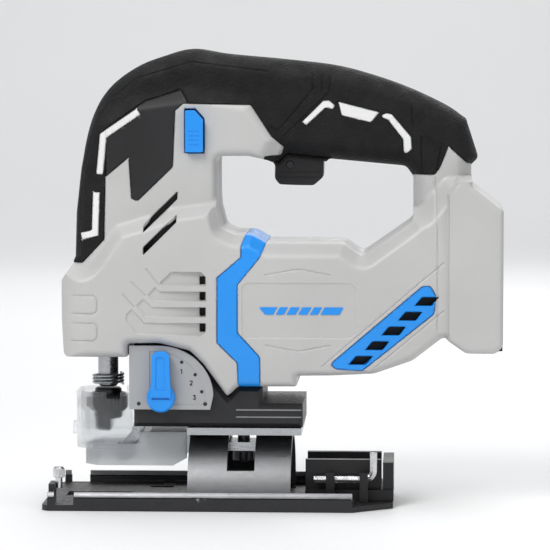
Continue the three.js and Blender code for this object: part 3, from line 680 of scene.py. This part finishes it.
def rim_rows(band, hole, points, used, height, xyz):
    """The rim's rings, row by row round one loop, added to xyz; each row ends in its surface point."""
    loop, normals, moved = band
    gap, where, along = distance(points[used], moved)
    on_rim = gap < 1e-3
    place = (where + along)[on_rim]
    order = np.argsort(place)
    rows = []
    for vertex, at in zip(used[on_rim][order], place[order]):
        k, t = int(at) % len(loop), at - int(at)
        n = (k + 1) % len(loop)
        point = loop[k] * (1 - t) + loop[n] * t
        normal = normals[k] * (1 - t) + normals[n] * t
        profile = rim_profile(point, normal, height[vertex], wall_start(point, hole))
        rows.append([*range(len(xyz), len(xyz) + len(profile)), vertex])
        xyz.extend((x, -h, z) for x, z, h in profile)
    return rows


def build_half(bands, holes):
    """All points and coloured faces of one half of the housing, on the -y side."""
    points, tris, colours = triangulated(draw_side(bands, holes), bands, holes)
    seams = [even(loop, 1.3) for _, loop in REGIONS]
    used = np.unique(tris)
    height = np.zeros(len(points))
    height[used] = surface_height(points[used], seams, holes)
    xyz = [(p[0], -h, p[1]) for p, h in zip(points, height)]
    faces = [tuple(t) for t in tris]
    marks = list(colours)
    owner = {(t[i], t[(i + 1) % 3]): colour for t, colour in zip(tris, colours) for i in range(3)}
    for band, hole in zip(bands, (False, True)):
        rows = rim_rows(band, hole, points, used, height, xyz)
        for row, after in zip(rows, rows[1:] + rows[:1]):
            edge = (row[-1], after[-1])
            matches = edge in owner  # the neighbouring triangle runs the same way along the edge
            if not matches and edge[::-1] not in owner:
                continue
            for j in range(len(row) - 1):
                quad = (row[j], after[j], after[j + 1], row[j + 1])
                faces.append(quad if matches else quad[::-1])
                marks.append(owner[edge if matches else edge[::-1]])
    return np.array(xyz), faces, np.array(marks)


LOOKS = {  # by region: piece name, material, wall, CAD nodes that it replaces
    "shell": ("shell", SHELL, 2.6, ["housing"]),
    "cover": ("grip_overmould", RUBBER, 1.4, ["grip_cover"]),
    "panel": ("front_panel", PANEL, 1.4, []),
    "band": ("trim_band", BLUE, 1.4, ["trim_band"]),
    "grille": ("vent_grille", BLUE, 2.6, ["vent_grille"]),
    "stripe": ("stripes", STRIPE, 1.4, []),
}


def make_housing():
    """Both halves of the housing, one closed piece for each colour and side."""
    bands = ring_bands()
    wells = [circle(place, SCREW_WELL, 24) for place in SCREW_PLACES]
    for side, sign, extra in (("left", 1, []), ("right", -1, wells)):
        xyz, faces, marks = build_half(bands, HOLES + extra)
        kinds = np.array(["shell"] + [kind for kind, _ in REGIONS])[marks]
        for kind, (name, material, thickness, nodes) in LOOKS.items():
            chosen = [faces[i] for i in np.nonzero(kinds == kind)[0]]
            ids = np.unique(np.concatenate([np.array(f) for f in chosen]))
            index = {old: new for new, old in enumerate(ids)}
            polygons = [tuple(index[v] for v in f[::sign]) for f in chosen]
            obj = piece(f"{name}_{side}", xyz[ids] * (1, sign, 1), polygons, material, "tool",
                        [f"{node}_{side}" for node in nodes], sharp=38)
            wall = obj.modifiers.new("wall", "SOLIDIFY")
            wall.thickness = thickness * MM
            wall.offset = -1


def make_screw_wells():
    """Tubes that line the counterbores of the right side, in the colour round each one."""
    for number, place in enumerate(SCREW_PLACES):
        cover = inside(np.array([place], float), COVER)[0]
        ring = [polar(place, 4.2, a) for a in np.linspace(0, 2 * math.pi, 12)]
        top = half_width(np.array(ring)).min() - 0.5
        tube = [(SCREW_WELL - 0.05, 11), (4.5, 11), (4.5, top), (SCREW_WELL - 0.05, top)]
        piece(f"screw_well_{number + 1}", *lathe(tube, "y", (place[0], 0, place[1]), 32),
              RUBBER if cover else SHELL, "tool")


# ---- builders for the small parts
def prism_mesh(outline, near, far):
    """An (x, z) outline drawn through in y, as points and faces."""
    near, far = sorted((near, far))
    outline = np.asarray(outline, float)
    if area(outline) < 0:
        outline = outline[::-1]
    count = len(outline)
    points = [(x, y, z) for y in (near, far) for x, z in outline]
    faces = [tuple(range(count)), tuple(range(2 * count - 1, count - 1, -1))]
    faces += [(i, i + count, (i + 1) % count + count, (i + 1) % count) for i in range(count)]
    return np.array(points), faces


def upright(outline, low, high):
    """A plan outline (x, y) drawn through in z."""
    points, faces = prism_mesh(outline, low, high)
    return points[:, [0, 2, 1]], [f[::-1] for f in faces]


def crosswise(outline, low, high):
    """A (y, z) outline drawn through in x."""
    points, faces = prism_mesh(outline, low, high)
    return points[:, [1, 0, 2]], [f[::-1] for f in faces]


def block(x0, x1, y0, y1, z0, z1):
    return prism_mesh([(x0, z0), (x1, z0), (x1, z1), (x0, z1)], y0, y1)


def lathe(profile, axis, centre, sides=40):
    """A turned solid: profile of (radius, distance along the axis), closed on itself."""
    rings = len(profile)
    angles = np.linspace(0, 2 * math.pi, sides, endpoint=False)
    points = np.array([
        (r * math.cos(a), r * math.sin(a), h) for a in angles for r, h in profile])
    order = {"z": [0, 1, 2], "x": [2, 0, 1], "y": [1, 2, 0]}[axis]
    points = points[:, order] + np.array(centre, float)
    faces = []
    for i in range(sides):
        row, after = i * rings, (i + 1) % sides * rings
        faces += [(row + j, after + j, after + (j + 1) % rings, row + (j + 1) % rings) for j in range(rings)]
    return points, faces


def disc(radius, low, high, axis, centre, chamfer=0.3, sides=32):
    """A short bar with chamfered ends."""
    profile = [(0, low), (radius - chamfer, low), (radius, low + chamfer), (radius, high - chamfer),
               (radius - chamfer, high), (0, high)]
    return lathe(profile, axis, centre, sides)


def sweep(path, radius, sides=12):
    """A round (or six-sided) bar along a path, its section carried without twist."""
    path = np.asarray(path, float)
    along = np.gradient(path, axis=0)
    along /= np.linalg.norm(along, axis=1)[:, None]
    helper = np.array([0.0, 0.0, 1.0]) if abs(along[0][2]) < 0.9 else np.array([1.0, 0.0, 0.0])
    side = np.cross(along[0], helper)
    points = []
    for place, direction in zip(path, along):
        side = side - direction * (side @ direction)
        side /= np.linalg.norm(side)
        other = np.cross(direction, side)
        for k in range(sides):
            angle = 2 * math.pi * k / sides
            points.append(place + radius * (math.cos(angle) * side + math.sin(angle) * other))
    faces = []
    for row in range(0, (len(path) - 1) * sides, sides):
        for k in range(sides):
            n = (k + 1) % sides
            faces.append((row + k, row + n, row + sides + n, row + sides + k))
    faces.append(tuple(range(sides))[::-1])
    faces.append(tuple(range(len(points) - sides, len(points))))
    return np.array(points), faces


def joined(*parts):
    """Several shapes as one mesh of separate solids."""
    points, faces, start = [], [], 0
    for part_points, part_faces in parts:
        points.append(np.asarray(part_points, float))
        faces += [tuple(v + start for v in f) for f in part_faces]
        start += len(part_points)
    return np.vstack(points), faces


def raw_object(shape):
    """A plain object of a shape, its double points merged, for a boolean."""
    mesh = bpy.data.meshes.new("blank")
    mesh.from_pydata([tuple(p) for p in np.asarray(shape[0]) * MM], [], shape[1])
    bm = bmesh.new()
    bm.from_mesh(mesh)
    bmesh.ops.remove_doubles(bm, verts=bm.verts, dist=1e-7)
    bmesh.ops.delete(bm, geom=[e for e in bm.edges if not e.link_faces], context="EDGES")
    bmesh.ops.recalc_face_normals(bm, faces=bm.faces)
    bm.to_mesh(mesh)
    bm.free()
    obj = bpy.data.objects.new("blank", mesh)
    bpy.context.scene.collection.objects.link(obj)
    return obj


def carved(name, base, tools, material, body, replaces=(), edge=0.0, segments=2, sharp=35, adds=()):
    """A base solid with others joined on and tools cut away, its edges then rounded."""
    blank = raw_object(base)
    others = []
    for shapes, operation in ((adds, "UNION"), (tools, "DIFFERENCE")):
        for shape in shapes:
            other = raw_object(shape)
            mod = blank.modifiers.new("cut", "BOOLEAN")
            mod.operation = operation
            mod.solver = "EXACT"
            mod.object = other
            others.append(other)
    bpy.context.view_layer.update()
    graph = bpy.context.evaluated_depsgraph_get()
    mesh = bpy.data.meshes.new_from_object(blank.evaluated_get(graph))
    mesh.name = name
    for obj in (blank, *others):
        data = obj.data
        bpy.data.objects.remove(obj)
        bpy.data.meshes.remove(data)
    bm = bmesh.new()
    bm.from_mesh(mesh)
    bmesh.ops.remove_doubles(bm, verts=bm.verts, dist=2e-6)
    bmesh.ops.dissolve_limit(bm, angle_limit=math.radians(0.5), verts=bm.verts, edges=bm.edges)
    bm.to_mesh(mesh)
    bm.free()
    obj = finish_piece(name, mesh, material, body, replaces, sharp)
    if edge:
        bevel(obj, edge, segments)


def shape_piece(name, shape, *looks):
    """A shape with nothing cut away."""
    carved(name, shape, (), *looks)


def knurled(centre, outer, inner, ridges):
    """A ring of ridges in plan."""
    angles = [math.pi * i / ridges for i in range(2 * ridges)]
    radii = (inner, outer) * ridges
    return [polar(centre, r, a) for a, r in zip(angles, radii)]


# ---- controls
def make_controls():
    """Trigger with its pin, and the lock-off button that shows at both sides."""
    trigger = rounded([
        (27.5, 170.4, 0), (27.1, 163, 2), (27, 156), (29.2, 153.1), (37, 152.8, 0), (45.5, 152.7, 3),
        (50, 156.6), (50.2, 164, 0), (50.2, 170.4, 0)], 2.5)
    grooves = [prism_mesh(widened([(28.6, z), (48.6, z)], 0.5), *side)
               for z in (156.6, 159) for side in ((-9, -8.05), (8.05, 9))]
    carved("trigger_lever", prism_mesh(trigger, -8.4, 8.4), grooves,
           BLACK, "trigger", ["trigger"], 1.1, 4)
    shape_piece("trigger_pivot", disc(1.9, -8.9, 8.9, "y", (34.2, 0, 162.5), 0.3, 24), DARK_STEEL,
                "tool", ["trigger_pin"])
    lock = rounded([(-14.4, 169.1), (-6.1, 169.1), (-6.1, 184.4), (-10, 188.8), (-14.4, 188.8)], 0.7)
    ribs = [prism_mesh(widened([(-12.8, z), (-8, z)], 0.55), *side)
            for z in (172.5, 174.6, 176.7, 178.8) for side in ((-29, -28.35), (23.95, 25))]
    carved("lock_button", prism_mesh(lock, -28.6, 24.2), ribs, BLUE, "lock_button",
           ["lock_off_button"], 0.7, 3)


HUB = (-25.8, 53.1)
DIAL_STEP = 26  # degrees between the lever's four places, the first straight up
DIGITS = [
    [(-0.5, -0.8), (0.5, -0.8), (0.5, 0.8), (-0.5, 0.8), (-0.5, -0.6)],
    [(-0.4, 0.5), (0.05, 0.85), (0.05, -0.9)],
    [(-0.5, 0.8), (0.5, 0.8), (0.5, 0.1), (-0.5, -0.8), (0.55, -0.8)],
    [(-0.5, 0.8), (0.5, 0.8), (0, 0.1), (0.5, -0.3), (0.4, -0.8), (-0.5, -0.8)],
]


def make_dial():
    """Setting plate of the pendulum action: a quarter disc with numbered stops."""
    def quarter_arc(x, z, across, up, first):
        return [(x + across * math.cos(a), z + up * math.sin(a)) for a in np.linspace(first, math.pi / 2, 24)]
    plate = [(-41.1, 77.6), (-41.1, 47.3), (-2.7, 47.3), *quarter_arc(-27, 53.5, 25.8, 24.1, 0.03)]
    field = [(-31.4, 75), (-31.4, 49.4), (-5.6, 49.4), *quarter_arc(-29, 51.8, 24.2, 23.2, 0.05)]
    places = [90 - DIAL_STEP * i for i in range(len(DIGITS))]
    stops = []
    for degrees in places[1:]:
        x, z = polar(HUB, 19.3, math.radians(degrees - 4))
        stops.append((x, 0, z))
    holes = [disc(0.85, -31, -29.1, "y", stop, 0.05, 16) for stop in stops]
    carved("dial_plate_face", prism_mesh(plate, -29.8, -27.4), [prism_mesh(field, -31, -29.45), *holes], DIAL,
           "tool", ["dial_plate"], 0.25, 2)
    pits = joined(*[disc(0.8, -29.4, -29.05, "y", stop, 0.1, 16) for stop in stops])
    shape_piece("dial_stops", pits, INK, "tool")
    marks = []
    for digit, degrees in zip(DIGITS, places):
        at = polar(HUB, 15.6, math.radians(degrees - 12))
        for ends in zip(digit[:-1], digit[1:]):
            marks.append(prism_mesh(widened(np.array(ends) * 1.15 + at, 0.42), -29.6, -29.3))
    for x in (-36.6, -5):
        marks.append(disc(1.0, -29.95, -29.3, "y", (x, 0, 50), 0.2, 20))
    shape_piece("dial_marks", joined(*marks), INK, "tool")


def make_lever():
    x, z = HUB
    arm = rounded([
        (x - 5.1, z), (x - 4.5, z + 8, 3), (x - 4.1, z + 20.6, 2), (x - 2.2, z + 22.2, 1.5),
        (x + 2.2, z + 22.2, 1.5), (x + 4.1, z + 20.6, 2), (x + 4.5, z + 8, 3), (x + 5.1, z)], 1)
    grip = rounded([(x - 2.4, z + 4), (x + 2.4, z + 4), (x + 2.1, z + 19.6), (x - 2.1, z + 19.6)], 1)
    slot = prism_mesh(widened([(x - 4, z), (x + 4, z)], 1.1), -36, -34.2)
    carved("orbital_lever_body", disc(6.7, -34.9, -30.4, "y", (x, 0, z), 0.8, 48),
           [prism_mesh(grip, -36.5, -35.45), slot], BLUE, "lever", ["orbital_lever"], 0.5, 3,
           adds=[prism_mesh(arm, -35.9, -31.5)])


# ---- blade drive
SPRING_TURNS = 3.1


def make_plunger():
    """What goes up and down with the blade: rod, clamp body and spring, and the collar round them."""
    at = (BLADE_X, 0, 0)
    rod = [(0, 55.2), (3.9, 55.2), (4.9, 56.2), (4.9, 157), (4.2, 157.8), (0, 157.8)]
    shape_piece("plunger_rod", lathe(rod, "z", at, 40), STEEL, "plunger", ["plunger"])
    body = [(0, 34.1), (5.4, 34.1), (6.4, 35.1), (6.4, 40), (6.9, 40.3), (6.9, 42.7), (6.4, 43),
            (6.4, 53.8), (5.6, 54.5), (0, 54.5)]
    blade_slot = block(BLADE_X - 4.5, BLADE_X + 4.5, -0.9, 0.9, 30, 50)
    rear_flat = block(BLADE_X + 1.6, BLADE_X + 10, -10, 10, 30, 39.8)
    carved("clamp_core", lathe(body, "z", at, 40), [blade_slot, rear_flat], DARK_STEEL, "plunger",
           ["clamp_body"], 0.15, 2)
    coil = [(*polar(at, 7.15, 2 * math.pi * SPRING_TURNS * t), 56.2 + 4.9 * t)
            for t in np.linspace(0, 1, 110)]
    piece("return_spring", *sweep(coil, 0.65, 10), STEEL, "plunger", ["clamp_spring"], 60)
    sleeve = [(7.0, 43.6), (8.5, 43.6), (8.8, 44.4), (8.8, 51.2), (8.3, 51.9), (7.0, 51.9)]
    ridges = upright(knurled(at, 9.4, 8.9, 30), 44.6, 50.9)
    lug = block(BLADE_X - 10.2, BLADE_X - 8, -2.4, 2.4, 45.2, 49.8)
    carved("clamp_sleeve", lathe(sleeve, "z", at, 48), [disc(7.0, 40, 56, "z", at, 0.01, 48)], BLACK,
           "collar", ["clamp_collar"], 0.15, 2, adds=[ridges, lug])


def make_blade_support():
    """Forked arm with its grooved roller behind the blade, and the lens of the work light."""
    cheek = rounded([
        (-33, 53), (-39, 53), (-40, 42, 3), (-42.5, 33, 3), (-49.2, 26, 1.5), (-48.6, 21.8), (-46, 20.6, 1.5),
        (-42.5, 23), (-33, 41, 3)], 2)
    carved("fork_cheeks", prism_mesh(cheek, -6.4, 6.4), [block(-54, -40, -4.7, 4.7, 15, 31.2)], STEEL,
           "fork", ["roller_fork"], 0.35, 2)
    rim = [(1.9, 4.1), (4.4, 4.1), (4.9, 3.6), (4.9, 1.1), (4.2, 0.7)]
    wheel = [(r, -h) for r, h in rim] + rim[::-1]
    shape_piece("blade_roller", lathe(wheel, "y", (-46, 0, 24), 36), STEEL, "roller", ["guide_roller"])
    lens = [(0, 70.9), (1.4, 70.9), (2.1, 71.6), (2.2, 79.9), (0, 79.9)]
    shape_piece("work_light_lens", lathe(lens, "z", (LIGHT_X, 0, 0), 28), CLEAR, "tool", ["work_light"])


# ---- guards
def bent_line(half, front, nose_half, rear, radius):
    """Plan line of a guard that is open at the rear: from one rear end round the front to the other."""
    shoulder = front + half - nose_half
    corners = [(rear, -half, 0), (shoulder, -half, radius), (front, -nose_half, radius),
               (front, nose_half, radius), (shoulder, half, radius), (rear, half, 0)]
    closed = rounded([*corners, (rear + 40, half, 0), (rear + 40, -half, 0)])
    return np.array([p for p in closed if p[0] <= rear + 1e-6])


def make_chip_guard():
    line = bent_line(15.9, -67.4, 9.4, -41, 5)
    wall, lip, rib = (
        upright(widened(line, thickness), low, high)
        for thickness, low, high in ((2.0, 26.6, 53.6), (2.6, 52.2, 53.6), (2.5, 36.4, 37.2)))
    tab = block(-70.9, -67.6, -3.9, 3.9, 32.2, 37.8)
    carved("chip_guard_screen", wall, [block(-53.5, -46.5, -40, 40, 50.4, 60)], CLEAR, "guard",
           ["chip_guard"], 0.45, 3, adds=[lip, rib, tab])


def mirrored(half_line):
    """A plan outline from its -y half."""
    return [*half_line, *((x, -y) for x, y in half_line[::-1])]


def make_dust_cover():
    def tray(half_line, radius, low, high):
        return upright(rounded(mirrored(half_line), radius), low, high)
    low = tray([(-15.1, -12.4), (-57.8, -12.4), (-64.4, -6)], 1.5, 18.1, 28.4)
    high = tray([(-15.1, -12.4), (-37, -12.4), (-40.4, -9)], 1.5, 18.1, 34.3)
    hollow = tray([(-13, -10.9), (-57.2, -10.9), (-62.9, -5.4)], 1, 10, 32.8)
    roof = block(-70, -33, -10.9, 10.9, 28, 40)
    corner = prism_mesh([(-14, 18), (-14, 22.4), (-22, 18)], -20, 20)
    carved("dust_channel", low, [hollow, roof, corner], FROSTED, "tool", ["dust_cover"], 0.5, 3, adds=[high])


# ---- shoe and tilt clamp
DOME_R = 34.2
DOME_IN = 31.1
CLAMP_X = 11.6  # the tilt clamp's screw


def arch(outer, inner, first, sides, x0, x1):
    """A half-round strip over the tilt axis, from first degrees above one side to the same at the other."""
    arc = np.linspace(math.radians(first), math.pi - math.radians(first), sides)
    outline = [polar((0, 0), outer, a) for a in arc] + [polar((0, 0), inner, a) for a in arc[::-1]]
    return crosswise(outline, x0, x1)


def tick(degrees):
    """An engraved line of the tilt scale, long at its ends and middle."""
    length = 2.8 if degrees % 45 else 4.4
    a = math.radians(90 - degrees)
    spot = np.array(polar((0, 0), DOME_R, a))
    side = np.array([-math.sin(a), math.cos(a)]) * 0.22
    out = spot / DOME_R * 0.25
    quad = [spot + side + out, spot - side + out, spot - side - out, spot + side - out]
    return crosswise(quad, 33.2 - length, 33.2)


def make_cradle():
    ribs = [arch(34.28, 33, 8, 49, x - 1.0, x + 1.0) for x in (-12.4, 34.4)]
    slot = block(5.1, 18.2, -30, 30, 18, 50)
    under = block(-50, 50, -50, 50, -10, 2.95)
    holes = [disc(2.2, 20, 60, "z", (x, 0, 0), 0.05, 20) for x in (-6, 25.5)]
    ticks = [tick(degrees) for degrees in range(-45, 46, 15)]
    carved("tilt_cradle", arch(DOME_R, DOME_IN, 0, 73, -13.5, 35.5), [*holes, *ticks, slot, under], DOME,
           "shoe", ["tilt_dome"], 0.3, 2, adds=ribs)


SHOE_HALF = 38.9
RAIL_IN = 36.9  # inner face of the shoe's upturned flanges
FENCE_SCREW = (-75, -28)
RIVETS = [(x, -29) for x in (40, 63)]


def make_shoe():
    half_plan = [(-82.2, -36), (-79.4, -SHOE_HALF), (65, -SHOE_HALF), (83.9, -24)]
    plate = upright(rounded(mirrored(half_plan), 1.5), 0.0, 2.6)
    rail = rounded([(-79.4, 0.4, 0.5), (65, 0.4, 0.5), (65, 6.4, 1.5), (-79.4, 6.4)], 1)
    adds, cuts = [], [block(-76, -67, -50, 50, 2.7, 20)]
    for sign in (-1, 1):
        adds.append(prism_mesh(rail, sign * RAIL_IN, sign * SHOE_HALF))
        adds += [block(x0, x1, sign * 32.4, sign * 33.6, 2.0, 4.4)
                 for x0, x1 in ((-60, -30), (-24, 6), (24, 58))]
    window = [(-74, -6.5), (-44, -6.5), (-42, -4), (-42, 4), (-44, 6.5), (-74, 6.5)]
    cuts += [upright(window, -1, 5), disc(7, -2, 6, "z", (CLAMP_X, 0, 0), 0.05, 40)]
    for y in (-24, 24):
        for x in (-30, 30):
            slot = rounded([(x - 6, y - 3), (x + 6, y - 3), (x + 6, y + 3), (x - 6, y + 3)], 2.5)
            cuts.append(upright(slot, -1, 5))
        cuts.append(disc(2.4, -1, 6, "z", (56, y, 0), 0.05, 20))
    adds += [block(-79.3, -76.9, -33.9, -22.1, 1, 11.9), block(-79.3, -72.1, -33.9, -22.1, 9.3, 11.9)]
    cuts.append(disc(2.1, 6, 16, "z", (*FENCE_SCREW, 0), 0.02, 20))
    adds += [disc(3.2, 2, 4.4, "z", (*place, 0), 0.4, 24) for place in RIVETS]
    carved("base_shoe", plate, cuts, SHEET, "shoe", ["shoe"], 0.3, 2, adds=adds)


def make_shoe_highlights_and_rivets():
    """Bright strips on the shoe: a painted highlight along the top edges of its flanges, and the rivets."""
    lips = []
    for sign in (-1, 1):
        lip = [(sign * y, z) for y, z in (
            (SHOE_HALF, 5.8), (SHOE_HALF, 6.4), (37.7, 8.5), (37.3, 8.8), (RAIL_IN, 8.6), (RAIL_IN, 5.8))]
        lips += [crosswise(lip, x0, x1) for x0, x1 in ((-66.8, 64.9), (-79.3, -76.2))]
    # The strips along the flange tops are painted highlight.
    shape_piece("shoe_edge_highlights", joined(*lips), EDGE_HIGHLIGHT, "shoe", (), 0.15, 1)
    rivets = joined(*[disc(1.9, 2.5, 4.9, "z", (*place, 0), 0.6, 24) for place in RIVETS])
    shape_piece("shoe_rivets", rivets, BRIGHT, "shoe")


def make_screws():
    """Fence screw, tilt clamp screw and the hex key that turns it."""
    stem = [(0, 9.3), (1.7, 9.3), (1.7, 14.2), (2.5, 14.4), (2.5, 18.9), (2.0, 19.4), (0, 19.4)]
    x, y = FENCE_SCREW
    carved("fence_thumb_screw", lathe(stem, "z", (x, y, 0), 24),
           [block(x - 3, x + 3, y - 0.35, y + 0.35, 18.6, 20)], BRIGHT, "fence_screw", ["fence_screw"], 0.12,
           1, adds=[upright(knurled(FENCE_SCREW, 2.85, 2.6, 24), 14.6, 18.4)])
    screw = [(0, 19.1), (4.9, 19.1), (5.4, 19.6), (5.4, 24.2), (5.0, 24.5), (2.9, 24.6), (2.9, 45.4),
             (2.4, 45.9), (0, 45.9)]
    carved("tilt_clamp_screw", lathe(screw, "z", (CLAMP_X, 0, 0), 32),
           [upright(circle((CLAMP_X, 0), 2.6, 6), 15, 22.5)], DARK_STEEL, "tilt_screw", ["tilt_screw"],
           0.12, 1)
    elbow = [(70 + 4.5 * math.sin(a), 17.5 - 4.5 * math.cos(a)) for a in np.linspace(0, math.pi / 2, 9)]
    bend = [(46.1, 13), (56, 13), (68, 13), *elbow, (74.5, 21), (74.5, 25.9)]
    shape_piece("hex_wrench", sweep([(x, -19.4, z) for x, z in bend], 2.0, 6), BRIGHT, "hex_key",
                ["hex_key"], 0.25, 2, 25)


def make_screw_heads():
    """Star screws of the right side, seen down their counterbores."""
    for number, (x, z) in enumerate(SCREW_PLACES):
        head = [(0, -9), (1.5, -9), (1.5, 11.4), (2.9, 11.5), (3.1, 12.1), (2.5, 13.3), (0, 13.35)]
        star = prism_mesh(knurled((x, z), 1.65, 1.15, 6), 12.1, 15)
        carved(f"star_screw_{number + 1}", lathe(head, "y", (x, 0, z), 28), [star], DARK_STEEL, "tool",
               [f"housing_screw_{number + 1}"], 0.08, 1)


# ---- battery foot, trim, vents
def make_battery_channel():
    """Walls, rails and floor of the slot that the battery pack slides into."""
    wall = block(125.6, 127, -31.8, 31.8, 75.4, 141.6)
    adds = [block(125.6, 134.6, -31.8, 31.8, 139, 141)]
    adds += [block(126.5, 133.2, sign * 30.9, sign * 32, 75.6, 140) for sign in (-1, 1)]
    adds += [block(133, 135.2, sign * 27.1, sign * 32, 76, 140) for sign in (-1, 1)]
    cut = block(120, 127.5, -20.8, 20.8, 92.2, 138.8)
    carved("battery_rails", wall, [cut], BLACK, "tool", (), 0.3, 2, adds=adds)


SIDES = (("left", -1), ("right", 1))


def make_trim():
    """A plain hatched mark on the label panel, and strips of painted highlight along the gear case's ridges.
    """
    label = rounded([(23.5, 93), (58.5, 93), (60.6, 96.5), (55.5, 96.5), (20.5, 96.5)], 0.5)
    cuts = [prism_mesh(widened([(x - 1.6, 92), (x + 1.6, 97.5)], 1.1), -36, 36)
            for x in (29, 34, 39.5, 45, 50)]
    for side, sign in SIDES:
        mark = prism_mesh(label, sign * 33.2, sign * 34.08)
        carved(f"label_mark_{side}", mark, cuts, BLUE, "tool", (), 0.12, 1)
        # Two thin strips that paint the highlight lines along the gear case's ridges.
        edges = [block(9.4, 40.4, sign * 26.6, sign * 27.1, z, z + 0.7) for z in (43.2, 46.6)]
        shape_piece(f"case_edge_highlights_{side}", joined(*edges), EDGE_HIGHLIGHT, "tool", (), 0.12, 1)


def make_shade_screens():
    """Black sheets inside the vents that paint the shade of the tool's interior, so that they don't look
    straight through the tool.
    """
    fields = [
        (GRILLE, 25), ([(-45, 82), (-3, 82), (-3, 114), (-30, 114), (-45, 97)], 27),
        ([(-36, 118), (-17, 134), (-17, 152), (-36, 137)], 20)]
    for side, sign in SIDES:
        for number, (field, depth) in enumerate(fields):
            # A sheet of painted shade behind one vent field.
            screen = prism_mesh(field, sign * depth, sign * (depth + 0.8))
            shape_piece(f"vent_shade_screen_{number + 1}_{side}", screen, BLACK, "tool", (), 0.1, 1)


CAD_LOOKS = [
    (STEEL, ["gear_axle", "crank_pin", "yoke", "lower_bush", "upper_guide", "motor_can", "front_bearing",
             "rear_bearing", "lever_shaft", "roller_pin", "fork_pin", "clamp_plate", "saddle_plate"]),
    (DARK_STEEL, ["motor_rotor", "motor_pinion", "drive_gear"]),
    (BLACK, ["motor_fan", "switch_body", "terminal_block", "key_holder", "lead_negative"]),
    (CAST, ["gear_case", "bearing_bracket"]),
    (COPPER, ["contact_1", "contact_2", "contact_3"]),
    (BOARD, ["controller_board"]),
    (RED, ["lead_positive"])]
BEVELS = {"gear_case": 0.7, "key_holder": 0.5, "saddle_plate": 0.4, "terminal_block": 0.4, "clamp_plate": 0.3,
          "yoke": 0.3, "lower_bush": 0.3, "bearing_bracket": 0.5, "switch_body": 0.4}


def finish_cad_nodes():
    """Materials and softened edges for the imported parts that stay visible."""
    for material, names in CAD_LOOKS:
        for name in names:
            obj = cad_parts[name]
            obj.data.materials.clear()
            obj.data.materials.append(material)
            if name in BEVELS:
                bevel(obj, BEVELS[name], 2, 30)


for make in (make_housing, make_screw_wells, make_controls, make_dial, make_lever, make_plunger,
             make_blade_support, make_chip_guard, make_dust_cover, make_cradle, make_shoe, make_shoe_highlights_and_rivets,
             make_screws, make_screw_heads, make_battery_channel, make_trim, make_shade_screens, finish_cad_nodes):
    make()


# ---- stage, light, camera
FLOOR_COLOR = (0.80, 0.80, 0.80)
FLOOR_DROP = 0.0002  # the floor lies this far under the sole


def make_stage():
    """Pale floor that curves up behind the tool, and an even grey-white surround."""
    bend = [(1.6 + 0.9 * math.sin(a), 0.9 - 0.9 * math.cos(a)) for a in np.linspace(0, math.pi / 2, 24)]
    profile = [(-5, 0), *bend, (2.5, 4)]
    mesh = bpy.data.meshes.new("floor")
    points = [(x, y, z - FLOOR_DROP) for y, z in profile for x in (-6, 6)]
    mesh.from_pydata(points, [], [(i, i + 1, i + 3, i + 2) for i in range(0, len(points) - 2, 2)])
    mesh.polygons.foreach_set("use_smooth", [True] * len(mesh.polygons))
    floor = bpy.data.objects.new("floor", mesh)
    bpy.context.scene.collection.objects.link(floor)
    mat, tree, shader = new_material("pale_floor", FLOOR_COLOR, 0.6)
    vary_color(tree, shader, FLOOR_COLOR, 0.01, 3)
    floor.data.materials.append(mat)
    world = bpy.data.worlds.new("studio")
    bpy.context.scene.world = world
    world.use_nodes = True
    surround = world.node_tree.nodes["Background"]
    surround.inputs["Color"].default_value = (0.95, 0.97, 1, 1)
    surround.inputs["Strength"].default_value = 0.4


def stand(name, data, place, target):
    """A light or camera in the scene, turned towards its target."""
    obj = bpy.data.objects.new(name, data)
    obj.location = place
    obj.rotation_mode = "QUATERNION"
    obj.rotation_quaternion = (Vector(target) - Vector(place)).to_track_quat("-Z", "Y")
    bpy.context.scene.collection.objects.link(obj)
    return obj


def area_light(name, place, target, size, watts):
    light = bpy.data.lights.new(name, "AREA")
    light.shape = "RECTANGLE"
    light.size, light.size_y = size
    light.energy = watts
    stand(name, light, place, target)


def make_camera():
    """Square on the left side, a little above and behind the tool's middle, as in the photograph."""
    low, high = cad_box
    camera = bpy.data.cameras.new("camera")
    camera.lens = 205
    bpy.context.scene.camera = stand("camera", camera, (0.0975, -1.5, 0.2268), (low + high) / 2)


MIDDLE = (0.02, 0, 0.1)
make_stage()
area_light("wall", (0, 0.9, 1.5), (0, 2.5, 0.9), (2.5, 0.6), 14)
area_light("key", (-0.6, -0.9, 1.2), MIDDLE, (0.8, 0.7), 15)
area_light("fill", (1.1, -1.2, 0.5), MIDDLE, (1.0, 0.8), 4)
area_light("top", (0.2, 0.1, 1.4), MIDDLE, (1.2, 0.7), 9)
area_light("back", (0.4, 1.2, 0.8), MIDDLE, (1.0, 0.5), 5)
make_camera()
bpy.context.scene.view_settings.view_transform = "Standard"
